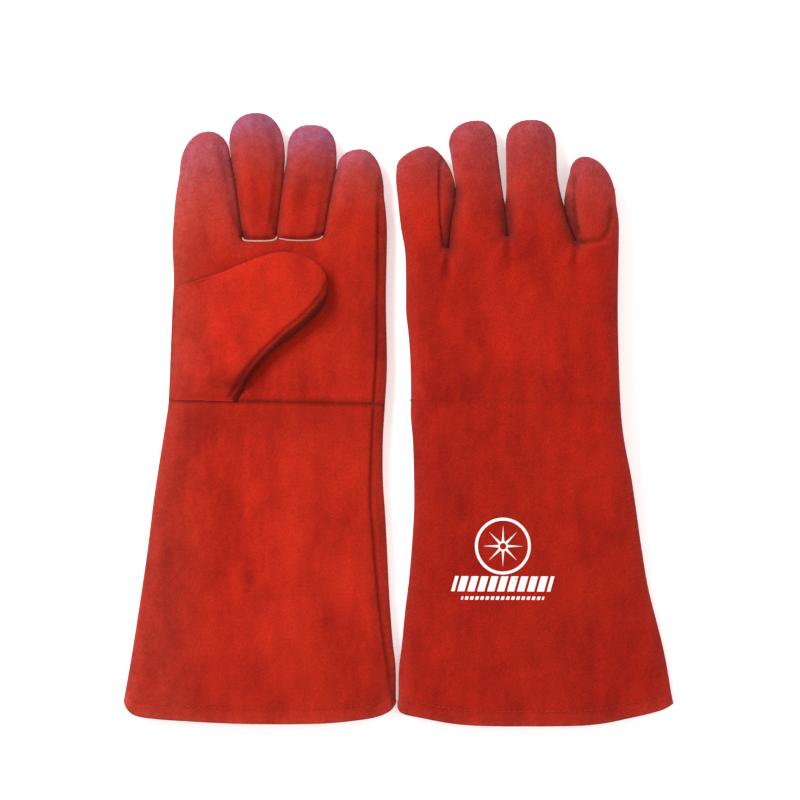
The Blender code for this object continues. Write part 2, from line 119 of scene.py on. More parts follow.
# Outlines. A slit between two fingers has a middle line up from the crotch, and its width along it.
# "above" carries a finger's left and right sides on, up to the shoulders where the rounded tip begins.
# A tip is its highest point and how blunt it is: 2 is an ellipse.
GLOVES = {
    "left": {
        "palm_up": True,
        "thumb_edge": [(-102.4, -197.6), (-97.7, -171.2), (-91.1, -128.9), (-86.5, -97.2),
                       (-82.6, -65.6), (-78.6, -39.2), (-74.4, -12.8), (-72.7, 0.5), (-71.3, 34.8),
                       (-70.3, 60), (-69.3, 80), (-70.2, 103), (-69.4, 119.3), (-68, 135),
                       (-65.4, 150.9)],
        "little_edge": [(77.8, -197.6), (77.6, -176.4), (75.8, -160.6), (74.5, -144.8),
                        (73.2, -125), (71.9, -97.2), (70.6, -73.5), (69.2, -52.4), (69.2, -26),
                        (70.6, -2.2), (71.9, 24.2), (71.2, 66.5), (71.9, 108.7), (71.2, 124.5),
                        (69.9, 135.1)],
        "hem": [(-102.4, -197.6), (-99, -204), (-90.5, -208.1), (-60, -210.8), (-20, -212.5),
                (25, -212.4), (50, -210.4), (66, -207.6), (75.5, -202.6), (77.8, -197.6)],
        "wrist": ((-73, 0.1), (70.6, -3.1)),
        "slits": [([(-23.3, 107.3), (-23.8, 110.5), (-24.9, 116), (-28.4, 143), (-31.6, 160)],
                   [0.3, 0.2, 0.1, 0.1, 0.4]),
                  ([(-1.4, 109.6), (0.6, 125), (3.2, 145), (5.0, 161)], [0.3, 0.1, 0.1, 1.4]),
                  ([(29.7, 109.4), (30.9, 112), (32.5, 123), (36.3, 143), (38.6, 153)],
                   [0.3, 0.2, 0.1, 0.1, 0.5])],
        "above": {"index": ([], []), "middle": ([(-32.6, 171)], []), "ring": ([], [(38.6, 160)]),
                  "little": ([], [])},
        "tips": {"index": (-46, 178.4, 2.1), "middle": (-14.6, 190.6, 2.3), "ring": (21.6, 182.6, 2.7),
                 "little": (54.6, 166.6, 2.2)},
    },
    "right": {
        "palm_up": False,
        "thumb_edge": [(-78.1, -195.8), (-77.7, -176), (-75.7, -158.8), (-73.7, -137.7),
                       (-71.1, -116.6), (-69.1, -92.8), (-67.8, -70.4), (-67.8, -50.6),
                       (-68.6, -24.2), (-70, -8.3), (-69.8, 8.9), (-70.4, 31.3), (-71.6, 47.1),
                       (-73, 60), (-73.1, 81.5), (-73.7, 99.9), (-76.4, 115.8), (-78.4, 134.3),
                       (-79.7, 147.5), (-79.3, 157)],
        "little_edge": [(103.9, -197.5), (102.5, -190.5), (99.9, -174.6), (96.6, -158.8),
                        (92.6, -143), (87.3, -121.8), (82.7, -95.4), (79.2, -72), (75.4, -47.9),
                        (72.1, -32.1), (69.5, -16.2), (68.2, -0.4), (67.2, 24), (66.4, 60),
                        (66.8, 95), (67.2, 118), (65.6, 131.6)],
        "hem": [(-78.1, -195.8), (-77, -203), (-62.5, -206.8), (-34.1, -211.4), (8.8, -212.3),
                (49, -211.4), (76.1, -206.6), (96, -201.6), (103.9, -197.5)],
        "wrist": ((-70, 1.0), (68.2, -0.6)),
        "slits": [([(-44.7, 102), (-43.1, 119), (-40.4, 133), (-40.2, 141)], [0.2, 0.1, 0.1, 0.2]),
                  ([(-5.7, 110), (-7.1, 124), (-7.8, 133)], [0.2, 0.1, 0.8]),
                  ([(38.9, 106.7), (34.5, 118), (31.7, 128), (30.6, 135)], [0.2, 0.1, 0.1, 1.6])],
        "above": {"index": ([], []), "middle": ([(-42.6, 158.5), (-44.8, 171)], [(-9.9, 145), (-12.6, 167)]),
                  "ring": ([(-6.8, 145), (-7.0, 171)], [(27.2, 149), (26.4, 168)]),
                  "little": ([(33.2, 145), (35.2, 152)], [])},
        "tips": {"index": (-58.4, 170.4, 1.6), "middle": (-25, 187.4, 2.25), "ring": (10.4, 187.8, 2.5),
                 "little": (44.9, 163.4, 2.0)},
    },
}
THUMB_UPPER = [(-69.2, 75.4), (-54, 79.4), (-37.7, 84.3), (-21.2, 91.2), (-7.3, 96.2), (5.2, 98.1),
               (20.7, 93.8), (30.3, 85.6), (33.6, 76)]
THUMB_LOWER = [(33.6, 76), (32.0, 66), (27.2, 58), (13.8, 45.3), (-7.1, 29), (-20, 14), (-28, -1.5)]
THUMB_SEAM = [(34, 80), (29, 69.1), (16.4, 55.2), (3.9, 45.3), (-15.4, 25.9), (-32.1, 2.2)]


# ------------------------------------------------------------------ curves and the flat pattern

def smooth(points, step):
    """A Catmull-Rom curve through the points, sampled about step apart."""
    p = [np.array(q, float) for q in points]
    p = [2 * p[0] - p[1], *p, 2 * p[-1] - p[-2]]
    fine = []
    for a, b, c, d in zip(p, p[1:], p[2:], p[3:]):
        for t in np.arange(0, 1, 1 / 16):
            fine.append(0.5 * (2 * b + (c - a) * t + (2 * a - 5 * b + 4 * c - d) * t * t
                               + (3 * b - a - 3 * c + d) * t ** 3))
    fine.append(p[-2])
    return resample(np.array(fine), step)


def resample(line, step):
    line = np.asarray(line, float)
    along = np.concatenate([[0], np.cumsum(np.linalg.norm(np.diff(line, axis=0), axis=1))])
    stops = np.linspace(0, along[-1], max(2, round(along[-1] / step) + 1))
    return np.column_stack([np.interp(stops, along, line[:, k]) for k in (0, 1)])


def tip_arc(shoulder, tip, step):
    """A blunt quarter ellipse from a finger's shoulder to the top of its tip."""
    angles = np.linspace(0, math.pi / 2, 24)
    wide, tall, power = shoulder[0] - tip[0], tip[1] - shoulder[1], 2 / tip[2]
    return resample(np.column_stack([tip[0] + wide * np.cos(angles) ** power,
                                     shoulder[1] + tall * np.sin(angles) ** power]), step)


def shifted(line, by):
    """The line moved to its left by a distance, or by one distance per point."""
    along = np.gradient(line, axis=0)
    normal = np.column_stack([-along[:, 1], along[:, 0]])
    normal /= np.maximum(np.linalg.norm(normal, axis=1)[:, None], 1e-9)
    return line + normal * np.reshape(by, (-1, 1))


def nearest(points, line):
    """(distance to a polyline, index of the nearest segment) of each point."""
    a, b = line[:-1], line[1:]
    ab = b - a
    best = np.full(len(points), 1e9)
    which = np.zeros(len(points), int)
    for start in range(0, len(points), 4000):
        p = points[start:start + 4000]
        ap = p[:, None, :] - a[None]
        share = np.clip((ap * ab).sum(2) / np.maximum((ab * ab).sum(1), 1e-12), 0, 1)
        away = np.linalg.norm(ap - share[..., None] * ab, axis=2)
        which[start:start + 4000] = away.argmin(1)
        best[start:start + 4000] = away.min(1)
    return best, which


def distance(points, *lines):
    return np.min([nearest(points, line)[0] for line in lines], axis=0)


def inside(points, ring):
    found = np.zeros(len(points), bool)
    for a, b in zip(ring, np.roll(ring, -1, axis=0)):
        if a[1] != b[1]:
            crosses = (a[1] > points[:, 1]) != (b[1] > points[:, 1])
            x = a[0] + (points[:, 1] - a[1]) * (b[0] - a[0]) / (b[1] - a[1])
            found ^= crosses & (points[:, 0] < x)
    return found


def ease(t):
    t = np.clip(t, 0, 1)
    return t * t * (3 - 2 * t)


def dome(t, roundness=2.2):
    t = np.clip(t, 0, 1)
    return (1 - (1 - t) ** roundness) ** (1 / roundness)


def finger_sides(glove, number):
    """A finger's left and right sides, from crotch to shoulder. None where it is the glove's edge."""
    sides = []
    for slit, sign, more in ((number - 1, 1, 0), (number, -1, 1)):
        if 0 <= slit < len(glove["slits"]):
            line, gap = glove["slits"][slit]
            middle = smooth(line, EDGE_STEP)
            wide = np.interp(middle[:, 1], [p[1] for p in line], gap)
            line = [tuple(p) for p in middle + np.outer(sign * wide / 2, (1, 0))]
            sides.append(smooth(line + glove["above"][FINGERS[number]][more], EDGE_STEP))
        else:
            sides.append(None)
    return sides


def glove_outline(glove):
    """(closed ring of the whole glove, the same without the open hem, the hem)."""
    hem = smooth(glove["hem"], EDGE_STEP)
    up = smooth(glove["little_edge"], EDGE_STEP)
    down = smooth(glove["thumb_edge"], EDGE_STEP)
    edge = [up[:-1]]
    for number in range(len(FINGERS))[::-1]:
        left, right = finger_sides(glove, number)
        tip = glove["tips"][FINGERS[number]]
        if right is not None:
            edge.append(right[:-1])
        edge.append(tip_arc((up if right is None else right)[-1], tip, EDGE_STEP)[:-1])
        edge.append(tip_arc((down if left is None else left)[-1], tip, EDGE_STEP)[::-1][:-1])
        if left is not None:
            edge.append(left[::-1])
    edge.append(down[::-1])
    edge = np.vstack(edge)
    return np.vstack([hem[:-1], edge[:-1]]), edge, hem


def mesh_pattern(ring, edge, seams, rows=EDGE_ROWS, grid=GRID_STEP):
    """(points, triangles) of a flat pattern: points on its ring, in rows along its edge, along its
    seams, and on a grid."""
    wanted = []
    for row in rows:
        for by in (row, -row):
            line = shifted(edge, by)
            wanted.append(line[(distance(line, edge) > row * 0.93) & inside(line, ring)])
    for seam in seams:
        for by in (1.1, -1.1, 2.8, -2.8):
            line = shifted(seam, by)
            wanted.append(line[inside(line, ring) & (distance(line, edge) > 1.0)])
    low, high = ring.min(0), ring.max(0)
    count = ((high - low) / (grid, grid * 0.866)).astype(int) + 1
    i, j = np.meshgrid(np.arange(count[0]), np.arange(count[1]))
    lattice = np.column_stack([(low[0] + (i + 0.5 * (j % 2)) * grid).ravel(),
                               (low[1] + j * grid * 0.866).ravel()])
    lattice = lattice[inside(lattice, ring)]
    wanted.append(lattice[distance(lattice, edge) > rows[-1] + 0.45 * grid])
    lines = [np.vstack([ring, ring[:1]]), *seams]
    fixed = list(map(tuple, ring))
    edges = []
    for seam in seams:
        first = len(fixed)
        fixed += list(map(tuple, seam))
        edges += [(first + k, first + k + 1) for k in range(len(seam) - 1)]
    kept = []
    cells = {}
    for k, group in enumerate(wanted):
        apart = 0.95 if k < len(wanted) - 1 else 0.62 * grid
        clear = distance(group, *lines) > min(apart, 1.0) if len(group) else []
        for point in group[clear] if len(group) else []:
            cell = (int(point[0] // 4), int(point[1] // 4))
            close = [q for dx in (-1, 0, 1) for dy in (-1, 0, 1)
                     for q in cells.get((cell[0] + dx, cell[1] + dy), ())]
            if all((point[0] - q[0]) ** 2 + (point[1] - q[1]) ** 2 > apart ** 2 for q in close):
                kept.append(tuple(point))
                cells.setdefault(cell, []).append(point)
    flat, _, triangles, *_ = delaunay_2d_cdt(
        [Vector(p) for p in fixed + kept], edges, [list(range(len(ring)))], 1, 1e-5)
    triangles = np.array([tuple(t) for t in triangles])
    used, index = np.unique(triangles, return_inverse=True)
    return np.array([tuple(p) for p in flat])[used], index.reshape(triangles.shape)


# ------------------------------------------------------------------ one glove's surfaces

def half_at(y):
    return HAND_HALF + (HEM_HALF - HAND_HALF) * np.clip(-y / 200, 0, 1)


def middle_height(glove, y):
    if glove["palm_up"]:
        return half_at(y)
    rise = ease((y - DRAPE_RISE[0]) / (DRAPE_RISE[1] - DRAPE_RISE[0]))
    fall = ease((DRAPE_FALL[1] - y) / (DRAPE_FALL[1] - DRAPE_FALL[0]))
    return half_at(y) + DRAPE * np.minimum(rise, fall)


def to_world(glove, p, w):
    """Pattern points and their heights, in millimetres, to the row frame, in metres."""
    sign = 1 if glove["palm_up"] else -1
    z = middle_height(glove, p[:, 1]) + sign * w
    return np.column_stack([p[:, 0] + glove["origin"][0], p[:, 1] + glove["origin"][1], z]) * MM


def undulation(p, seed, size):
    """Smooth noise from about -1 to 1 over a size in millimetres."""
    return np.array([noise.noise(Vector((x / size, y / size, seed))) for x, y in p[:, :2]])


def shell_mesh(name, glove, flat, triangles, w_front, w_back, on_edge, labels_front, labels_back):
    """The palm side and the back as one mesh, joined where on_edge. Carries the pattern's x and y
    and the side in the attribute "pattern", and each face's label in "panel"."""
    n = len(flat)
    back_index = np.where(on_edge, np.arange(n), -1)
    free = np.flatnonzero(~on_edge)
    back_index[free] = n + np.arange(len(free))
    points = np.vstack([to_world(glove, flat, w_front), to_world(glove, flat[free], w_back[free])])
    faces = np.vstack([triangles, back_index[triangles][:, ::-1]])
    if not glove["palm_up"]:
        faces = faces[:, ::-1]
    side = np.concatenate([np.where(on_edge, 0, 1), -np.ones(len(free))])
    pattern = np.column_stack([np.vstack([flat, flat[free]]), side])
    labels = np.concatenate([labels_front, labels_back])
    return make_mesh(name, points, faces, {"pattern": pattern}, labels)


def make_mesh(name, points, faces, attributes=None, labels=None):
    mesh = bpy.data.meshes.new(name)
    mesh.from_pydata([tuple(p) for p in points], [], [tuple(int(i) for i in f) for f in faces])
    for key, values in (attributes or {}).items():
        made = mesh.attributes.new(key, "FLOAT_VECTOR" if np.ndim(values) == 2 else "FLOAT", "POINT")
        made.data.foreach_set("vector" if np.ndim(values) == 2 else "value",
                              np.asarray(values, np.float32).ravel())
    if labels is not None:
        made = mesh.attributes.new("panel", "INT", "FACE")
        made.data.foreach_set("value", np.asarray(labels, np.int32))
    mesh.update()
    return mesh


def placed(name, data):
    """A new object in the scene."""
    obj = bpy.data.objects.new(name, data)
    bpy.context.scene.collection.objects.link(obj)
    return obj


def coordinates(mesh):
    co = np.zeros(len(mesh.vertices) * 3, np.float32)
    mesh.vertices.foreach_get("co", co)
    return co.reshape(-1, 3).astype(float)


def puff(mesh, pinned, seam_weight, pressure, most, frames=22):
    """Leather under a little pressure from inside, its seams drawn tight: a cloth simulation,
    with no point moved further than most."""
    before = coordinates(mesh)
    obj = placed("puffing", mesh)
    pin = obj.vertex_groups.new(name="pin")
    pin.add([int(i) for i in np.flatnonzero(pinned)], 1.0, "REPLACE")
    shrink = obj.vertex_groups.new(name="shrink")
    for index in np.flatnonzero(seam_weight > 0.02):
        shrink.add([int(index)], float(seam_weight[index]), "REPLACE")
    cloth = obj.modifiers.new("cloth", "CLOTH")
    settings = cloth.settings
    settings.quality = 6
    settings.mass = 0.4
    settings.air_damping = 2.0
    settings.tension_stiffness = 25
    settings.compression_stiffness = 25
    settings.shear_stiffness = 12
    settings.bending_stiffness = 1.2
    settings.use_pressure = True
    settings.uniform_pressure_force = pressure
    settings.vertex_group_mass = "pin"
    settings.pin_stiffness = 1.0
    settings.vertex_group_shrink = "shrink"
    settings.shrink_min = 0.0
    settings.shrink_max = 0.10
    settings.effector_weights.gravity = 0.0
    cloth.collision_settings.use_collision = False
    cloth.collision_settings.use_self_collision = False
    cloth.point_cache.frame_start = 1
    cloth.point_cache.frame_end = frames
    scene = bpy.context.scene
    scene.frame_start, scene.frame_end = 1, frames
    for number in range(1, frames + 1):
        scene.frame_set(number)
    after = coordinates(obj.evaluated_get(bpy.context.evaluated_depsgraph_get()).data)
    scene.frame_set(1)
    bpy.data.objects.remove(obj)
    moved = np.nan_to_num(after - before)
    length = np.linalg.norm(moved, axis=1)[:, None]
    most *= MM
    moved *= most * np.tanh(length / most) / np.maximum(length, 1e-12)
    mesh.vertices.foreach_set("co", (before + moved).astype(np.float32).ravel())
    mesh.update()


def subdivide(mesh, levels=1):
    obj = placed("subdividing", mesh)
    modifier = obj.modifiers.new("subdivision", "SUBSURF")
    modifier.levels = modifier.render_levels = levels
    evaluated = obj.evaluated_get(bpy.context.evaluated_depsgraph_get())
    made = bpy.data.meshes.new_from_object(evaluated)
    bpy.data.objects.remove(obj)
    return made


def arrays(mesh):
    """(points, normals, faces as a list of tuples, panel of each face, pattern of each point)"""
    points = coordinates(mesh)
    normals = np.zeros(len(points) * 3, np.float32)
    mesh.vertices.foreach_get("normal", normals)
    faces = [tuple(f.vertices) for f in mesh.polygons]
    panel = np.zeros(len(faces), np.int32)
    mesh.attributes["panel"].data.foreach_get("value", panel)
    pattern = np.zeros(len(points) * 3, np.float32)
    mesh.attributes["pattern"].data.foreach_get("vector", pattern)
    return points, normals.reshape(-1, 3).astype(float), faces, panel, pattern.reshape(-1, 3)


def smooth_normals(points, faces):
    """Vertex normals, weighted by face area."""
    quads = np.array([f if len(f) == 4 else (*f, f[-1]) for f in faces])
    p = points[quads]
    across = np.cross(p[:, 2] - p[:, 0], p[:, 3] - p[:, 1])
    normals = np.zeros_like(points)
    for k in range(4):
        np.add.at(normals, quads[:, k], across)
    return normals / np.maximum(np.linalg.norm(normals, axis=1)[:, None], 1e-12)


def panel_object(name, points, normals, faces, thickness, attributes, finish, below=0.0):
    """The given faces as a sheet of that thickness, its outer surface that far below the given
    points. Its outer normals are those of the whole surface."""
    used = np.unique([i for f in faces for i in f])
    index = {int(v): k for k, v in enumerate(used)}
    n = len(used)
    outer = points[used] - normals[used] * below * MM
    inner = outer - normals[used] * thickness * MM
    top = [tuple(index[i] for i in f) for f in faces]
    sides = dict.fromkeys((a, b) for f in top for a, b in zip(f, f[1:] + f[:1]))
    rim = [(b, a, a + n, b + n) for a, b in sides if (b, a) not in sides]
    every = top + [tuple(i + n for i in f[::-1]) for f in top] + rim
    doubled = {k: np.concatenate([v[used], v[used]]) for k, v in attributes.items()}
    mesh = make_mesh(name, np.vstack([outer, inner]), every, doubled)
    mesh.shade_smooth()
    shading = np.vstack([normals[used], -normals[used]])
    polygon_normals = [tuple(p.normal) for p in mesh.polygons]
    corner = []
    for number, f in enumerate(every):
        if number < 2 * len(top):
            corner += [tuple(shading[i]) for i in f]
        else:
            corner += [polygon_normals[number]] * len(f)
    mesh.normals_split_custom_set(corner)
    mesh.materials.append(finish)
    return placed(name, mesh)


# ------------------------------------------------------------------ the two gloves' panels

def line_y(line, x):
    """Height of a left-to-right polyline at x."""
    return np.interp(x, [p[0] for p in line], [p[1] for p in line])


def line_x(line, y):
    """Place across of a polyline that runs up or down, at height y."""
    pts = sorted(line, key=lambda p: p[1])
    return np.interp(y, [p[1] for p in pts], [p[0] for p in pts])


SIDE_SEAM = {
    "left": [(67.8, 147), (67.4, 110), (66.8, 39), (64.6, -3), (62.2, -60.6), (64.6, -98.5),
             (68.4, -137.9), (71.4, -160), (74.6, -181), (76.6, -204)],
    "right": [(64.5, 147), (63.8, 100), (64.6, 20), (66.4, -16), (72, -48), (79.6, -95), (89, -143),
              (96, -175), (99.5, -202)],
}
KNUCKLES = {
    "left": [(-80, 107.4), (-23.2, 107.2), (-12, 106.4), (2, 107.4), (17, 106.6), (29.8, 108.6), (80, 109)],
    "right": [(-90, 103), (-44.7, 101.9), (-24, 104.5), (-5.4, 109.8), (16, 108.5), (37.1, 106.6), (80, 107)],
}
INDEX_STRIP = [(-49.4, 163), (-50.4, 140), (-49.6, 118), (-47.4, 103)]
LITTLE_STRIP = [(37.6, 151), (36.7, 140), (37.0, 128), (39.6, 112)]
PUCKER = [(38.3, 105.8), (47, 106), (55.3, 107.6), (61, 114.5), (62.9, 130)]
CROTCH_LEFT = [(-23.8, 107.2), (-12, 106.2), (2, 107.0), (17, 106.4), (29.8, 108.4)]
CROTCH_RIGHT = [(-44.6, 102.6), (-24, 104.5), (-5.4, 109.2), (16, 108.2), (38.9, 106.8)]
# Grooves: (side of the hand, which line, depth, width). 1 is the palm side.
GROOVES = {
    "both": [(1, "wrist", 1.5, 1.6), (1, "crotch", 1.6, 1.7), (1, "hem", 0.3, 1.2), (-1, "hem", 0.3, 1.2)],
    "left": [(1, "side", 1.3, 1.5), (-1, "wrist", 0.9, 1.8)],
    "right": [(1, "side", 1.2, 1.5), (-1, "wrist", 0.3, 2.6), (-1, "strip", 1.3, 1.2),
              (-1, "little_strip", 1.5, 1.1), (-1, "pucker", 1.3, 1.8)],
}
# Ridges and hollows of the side that lies up: (middle, half sizes, turn in degrees, height). A height
# below zero is a hollow.
FOLDS = {
    "left": [((0, 4.2), (70, 2.0), -1.3, 0.55), ((-14, 132), (4, 20), 4, -1.3),
             ((-8, 122), (2.2, 11), -12, 0.8), ((17, 128), (4, 18), -6, -1.2),
             ((10, 121), (2, 10), 20, 0.7), ((-20, 118), (2, 9), 14, 0.8), ((25, 118), (2, 9), -14, 0.8),
             ((-22.4, 110), (1.8, 3.0), 0, -0.9), ((27.4, 109.6), (3.0, 1.8), 0, -0.9),
             ((-48, 112), (3, 26), 8, -0.7), ((50, 124), (3, 20), -6, -0.6),
             ((58, 30), (3, 50), 2, -0.7), ((30, -60), (6, 70), 3, -0.7),
             ((-34, -90), (6, 60), -4, -0.6), ((48, -120), (4, 60), 2, 0.7),
             ((-5, -130), (5, 60), 1, 0.6)],
    "right": [((-50, 92), (2.2, 11), -22, 1.4), ((-41, 92), (2.2, 11), 14, 1.4),
              ((-45.5, 90), (2.0, 13), -4, -1.8), ((-10, 101), (2.2, 9), -28, 1.5),
              ((-1, 101), (2.2, 9), 28, 1.5), ((-5.5, 99), (1.9, 11), 0, -1.8),
              ((35, 98), (2.2, 9), -24, 1.3), ((39, 96), (1.6, 12), 0, -1.6),
              ((50, 103.2), (12, 1.8), 5, 1.3), ((-28, 80), (6, 40), 8, -0.7),
              ((22, 70), (6, 40), -6, -0.6), ((-44, 130), (2, 20), 2, 0.4),
              ((-52, 40), (4, 40), 0, -0.6), ((50, 30), (5, 50), 0, -0.6),
              ((-40, -90), (7, 60), -3, -0.6), ((40, -90), (7, 70), 5, 0.6),
              ((0, -60), (8, 60), 0, -0.5)],
}


class Glove:
    """The flat lines and the height functions of one glove."""

    def __init__(self, side):
        self.side, self.data = side, GLOVES[side]
        self.origin = [c / MM for c in JOINTS[f"{side}_wrist"]["pos_m"][:2]]
        self.data["origin"] = self.origin
        self.upper = 1 if self.data["palm_up"] else -1
        self.ring, self.edge, self.hem = glove_outline(self.data)
        self.side_seam, self.knuckles = SIDE_SEAM[side], KNUCKLES[side]
        fold = JOINTS[f"{side}_thumb_fold"]
        self.fold_at = np.array(fold["pos_m"][:2]) / MM - self.origin
        self.fold_out = np.abs(np.array([fold["axis"][1], fold["axis"][0]]))
        down = smooth(self.data["thumb_edge"], EDGE_STEP)
        bottom = [(x, line_y(self.data["wrist"], x) + 0.4) for x in (-28, -40, -52, -64, -71)]
        heel = bottom + [tuple(p + (0.5, 0)) for p in down if 1.4 < p[1] < 73] + [THUMB_UPPER[0]]
        self.free = np.vstack([smooth(THUMB_UPPER, EDGE_STEP)[:-1], smooth(THUMB_LOWER, EDGE_STEP)])
        self.heel = resample(heel, EDGE_STEP)
        self.heel[-1] = self.free[0]
        self.thumb_ring = np.vstack([self.free, self.heel[1:]])

    def seam(self, which):
        data = self.data
        if which == "hem":
            line = self.hem + (0, HEM_TURN)
            return line[inside(line, self.ring) & (distance(line, self.edge) > 2)]
        line = {"wrist": data["wrist"], "knuckles": self.knuckles, "side": self.side_seam,
                "crotch": CROTCH_LEFT if self.side == "left" else CROTCH_RIGHT,
                "strip": INDEX_STRIP, "little_strip": LITTLE_STRIP, "pucker": PUCKER}[which]
        return smooth(line, EDGE_STEP) if len(line) > 2 else resample(line, EDGE_STEP)

    def grooves(self):
        """(side, its line, depth, width) of each groove."""
        return [(side, self.seam(which), deep, width)
                for side, which, deep, width in GROOVES["both"] + GROOVES[self.side]]

    def from_slits(self, points):
        """Distance from the middle line of the nearest slit."""
        return distance(points, *(smooth(line, EDGE_STEP) for line, _ in self.data["slits"]))

    def panel_height(self, points):
        """Height of either panel above the middle plane."""
        away = distance(points, self.edge)
        radius = EDGE_RADIUS + 3.5 * ease((points[:, 1] - 96) / 30)
        held = inside(points, self.ring) | (distance(points, self.hem) < 0.01)
        return half_at(points[:, 1]) * dome(away / radius, 2.0) * held

    def thumb_ramp(self, points):
        """How far the thumb's tube has grown out of the heel, from 0 to 1."""
        outer = line_x(self.data["thumb_edge"], points[:, 1])
        return ease((points[:, 0] - outer) / 46) * ease((points[:, 1] - 1.4) / 17)

    def thumb_round(self, points):
        """How full the thumb's tube is at each point: it is rounder along its upper edge."""
        upper, lower = smooth(THUMB_UPPER, EDGE_STEP), smooth(THUMB_LOWER, EDGE_STEP)
        return dome(np.minimum(distance(points, upper) / THUMB_RADIUS, distance(points, lower) / 8.0), 2.0)

    def beyond_fold(self, points):
        return (points - self.fold_at) @ self.fold_out

    def finger_of(self, points):
        """Index in FINGERS of the finger that each point is in or under."""
        found = np.zeros(len(points), int)
        for line, _ in self.data["slits"]:
            found += points[:, 0] > line_x(line, points[:, 1])
        return found

    def panel_labels(self, points, side):
        """The node of each face of the shell, by its middle: side is 1 for the palm side."""
        x, y = points.T
        away = distance(points, self.edge)
        names = np.empty(len(points), object)
        cuff = y < line_y(self.data["wrist"], x)
        finger = y > line_y(self.knuckles, x)
        names[:] = "palm" if side > 0 else "hand_back"
        names[cuff] = "cuff_front" if side > 0 else "cuff_back"
        strip = (x > line_x(self.side_seam, y)) & (side > 0) | (away < EDGE_STRIP) & (x > 40)
        names[strip] = np.where(cuff, "cuff_welt", "hand_welt")[strip]
        which = self.finger_of(points)
        outer = (which == 3) & (x > line_x(self.side_seam, y)) & (y < SIDE_STRIP_TOP)
        along_side = (away < EDGE_STRIP) | outer & (side > 0)
        if self.side == "right" and side < 0:
            along_side |= (which == 0) & (x > line_x(INDEX_STRIP, y)) & (y < INDEX_STRIP_TOP)
        part = np.where(along_side, "side", "front" if side > 0 else "back")
        for k, name in enumerate(FINGERS):
            here = finger & (which == k)
            names[here] = [f"{name}_finger_{p}" for p in part[here]]
        return names


def extended(line, by=3.0):
    line = np.asarray(line, float)
    first, last = line[0] - line[1], line[-1] - line[-2]
    return np.vstack([line[0] + first / np.linalg.norm(first) * by, line,
                      line[-1] + last / np.linalg.norm(last) * by])


def hand_shell(glove):
    seams = [extended(glove.seam("wrist")), extended(glove.seam("knuckles"), 1.0), glove.seam("side")[:-1]]
    if glove.side == "right":
        seams.append(glove.seam("strip"))
    flat, triangles = mesh_pattern(glove.ring, glove.edge, seams)
    on_edge = distance(flat, glove.edge) < 1e-3
    height = glove.panel_height(flat)
    height[on_edge] = 0
    soft = dome(distance(flat, glove.edge) / 20, 2.0)
    lumps = [0.8 * undulation(flat, seed, 38) + 0.5 * undulation(flat * (1.7, 0.5), seed + 5, 16)
             for seed in (3.1, 7.7)]
    front, back = height + soft * lumps[0], -height + soft * lumps[1]
    middle = flat[triangles].mean(1)
    names = np.concatenate([glove.panel_labels(middle, 1), glove.panel_labels(middle, -1)])
    kinds = sorted(set(names))
    labels = np.array([kinds.index(n) for n in names])
    half = len(triangles)
    mesh = shell_mesh(f"{glove.side}_shell", glove.data, flat, triangles, front, back, on_edge,
                      labels[:half], labels[half:])
    return mesh, kinds


def settled_height(glove, mesh, p):
    """Height above the middle plane of a settled shell's palm side at points of the pattern."""
    points, _, faces, *_ = arrays(mesh)
    tree = BVHTree.FromPolygons([tuple(q) for q in points], faces)
    level = middle_height(glove.data, p[:, 1])
    found = np.zeros(len(p))
    for k, start in enumerate(to_world(glove.data, p, np.full(len(p), CLEAR_OF_ALL))):
        place = tree.ray_cast(Vector(start), Vector((0, 0, -glove.upper)))[0]
        if place is not None:
            found[k] = max(0.0, glove.upper * (place.z / MM - level[k]))
    return found


def thumb_shell(glove, palm):
    ring = np.vstack([glove.free[:-1], glove.heel[:-1]])[::-1]
    edge = np.vstack([ring, ring[:1]])
    across = np.array([-glove.fold_out[1], glove.fold_out[0]])
    fold = np.array([glove.fold_at + across * t for t in np.linspace(-62, 62, 36)])
    seams = [fold, smooth(THUMB_SEAM, EDGE_STEP)[1:-1]]
    flat, triangles = mesh_pattern(ring, edge, seams)
    on_edge = distance(flat, edge) < 1e-3
    ramp = glove.thumb_ramp(flat)
    under = settled_height(glove, palm, flat)
    round_off = glove.thumb_round(flat)
    half = 0.5 * THUMB_THICK * ramp
    low = groove_depth(glove, flat, np.ones(len(flat)))
    centre = under + 0.6 + 0.3 * ramp - low * (1 - ramp) + half
    soft = dome(distance(flat, edge) / 16, 2.0)
    top = centre + half * round_off + soft * 0.5 * undulation(flat, 11.3, 24)
    bottom = centre - half * round_off
    middle = flat[triangles].mean(1)
    beyond = glove.beyond_fold(middle) > 0
    below_seam = middle[:, 1] < line_y(THUMB_SEAM[::-1], middle[:, 0])
    upper = np.where(beyond, np.where(below_seam, 2, 1), 0)
    lower = np.where(beyond & (glove.thumb_ramp(middle) > 0.12), 2, 3)
    mesh = shell_mesh(f"{glove.side}_thumb_shell", glove.data, flat, triangles, top, bottom, on_edge,
                      upper, lower)
    return mesh, ["thumb_base", "thumb_front", "thumb_back", None]


def split(pattern):
    """(place in the flat pattern, side: 1 on the palm side and -1 on the back) of each point."""
    return pattern[:, :2].astype(float), np.where(pattern[:, 2] >= 0, 1, -1)


def fold_heights(glove, p, side):
    """Height, in millimetres, of the glove's long folds at each point."""
    total = np.zeros(len(p))
    for middle, half, turn, height in FOLDS[glove.side]:
        c, t = math.cos(math.radians(turn)), math.sin(math.radians(turn))
        q = (p - middle) @ np.array([[c, -t], [t, c]])
        total += height * np.exp(-((q / half) ** 2).sum(1))
    return total * (side == glove.upper)


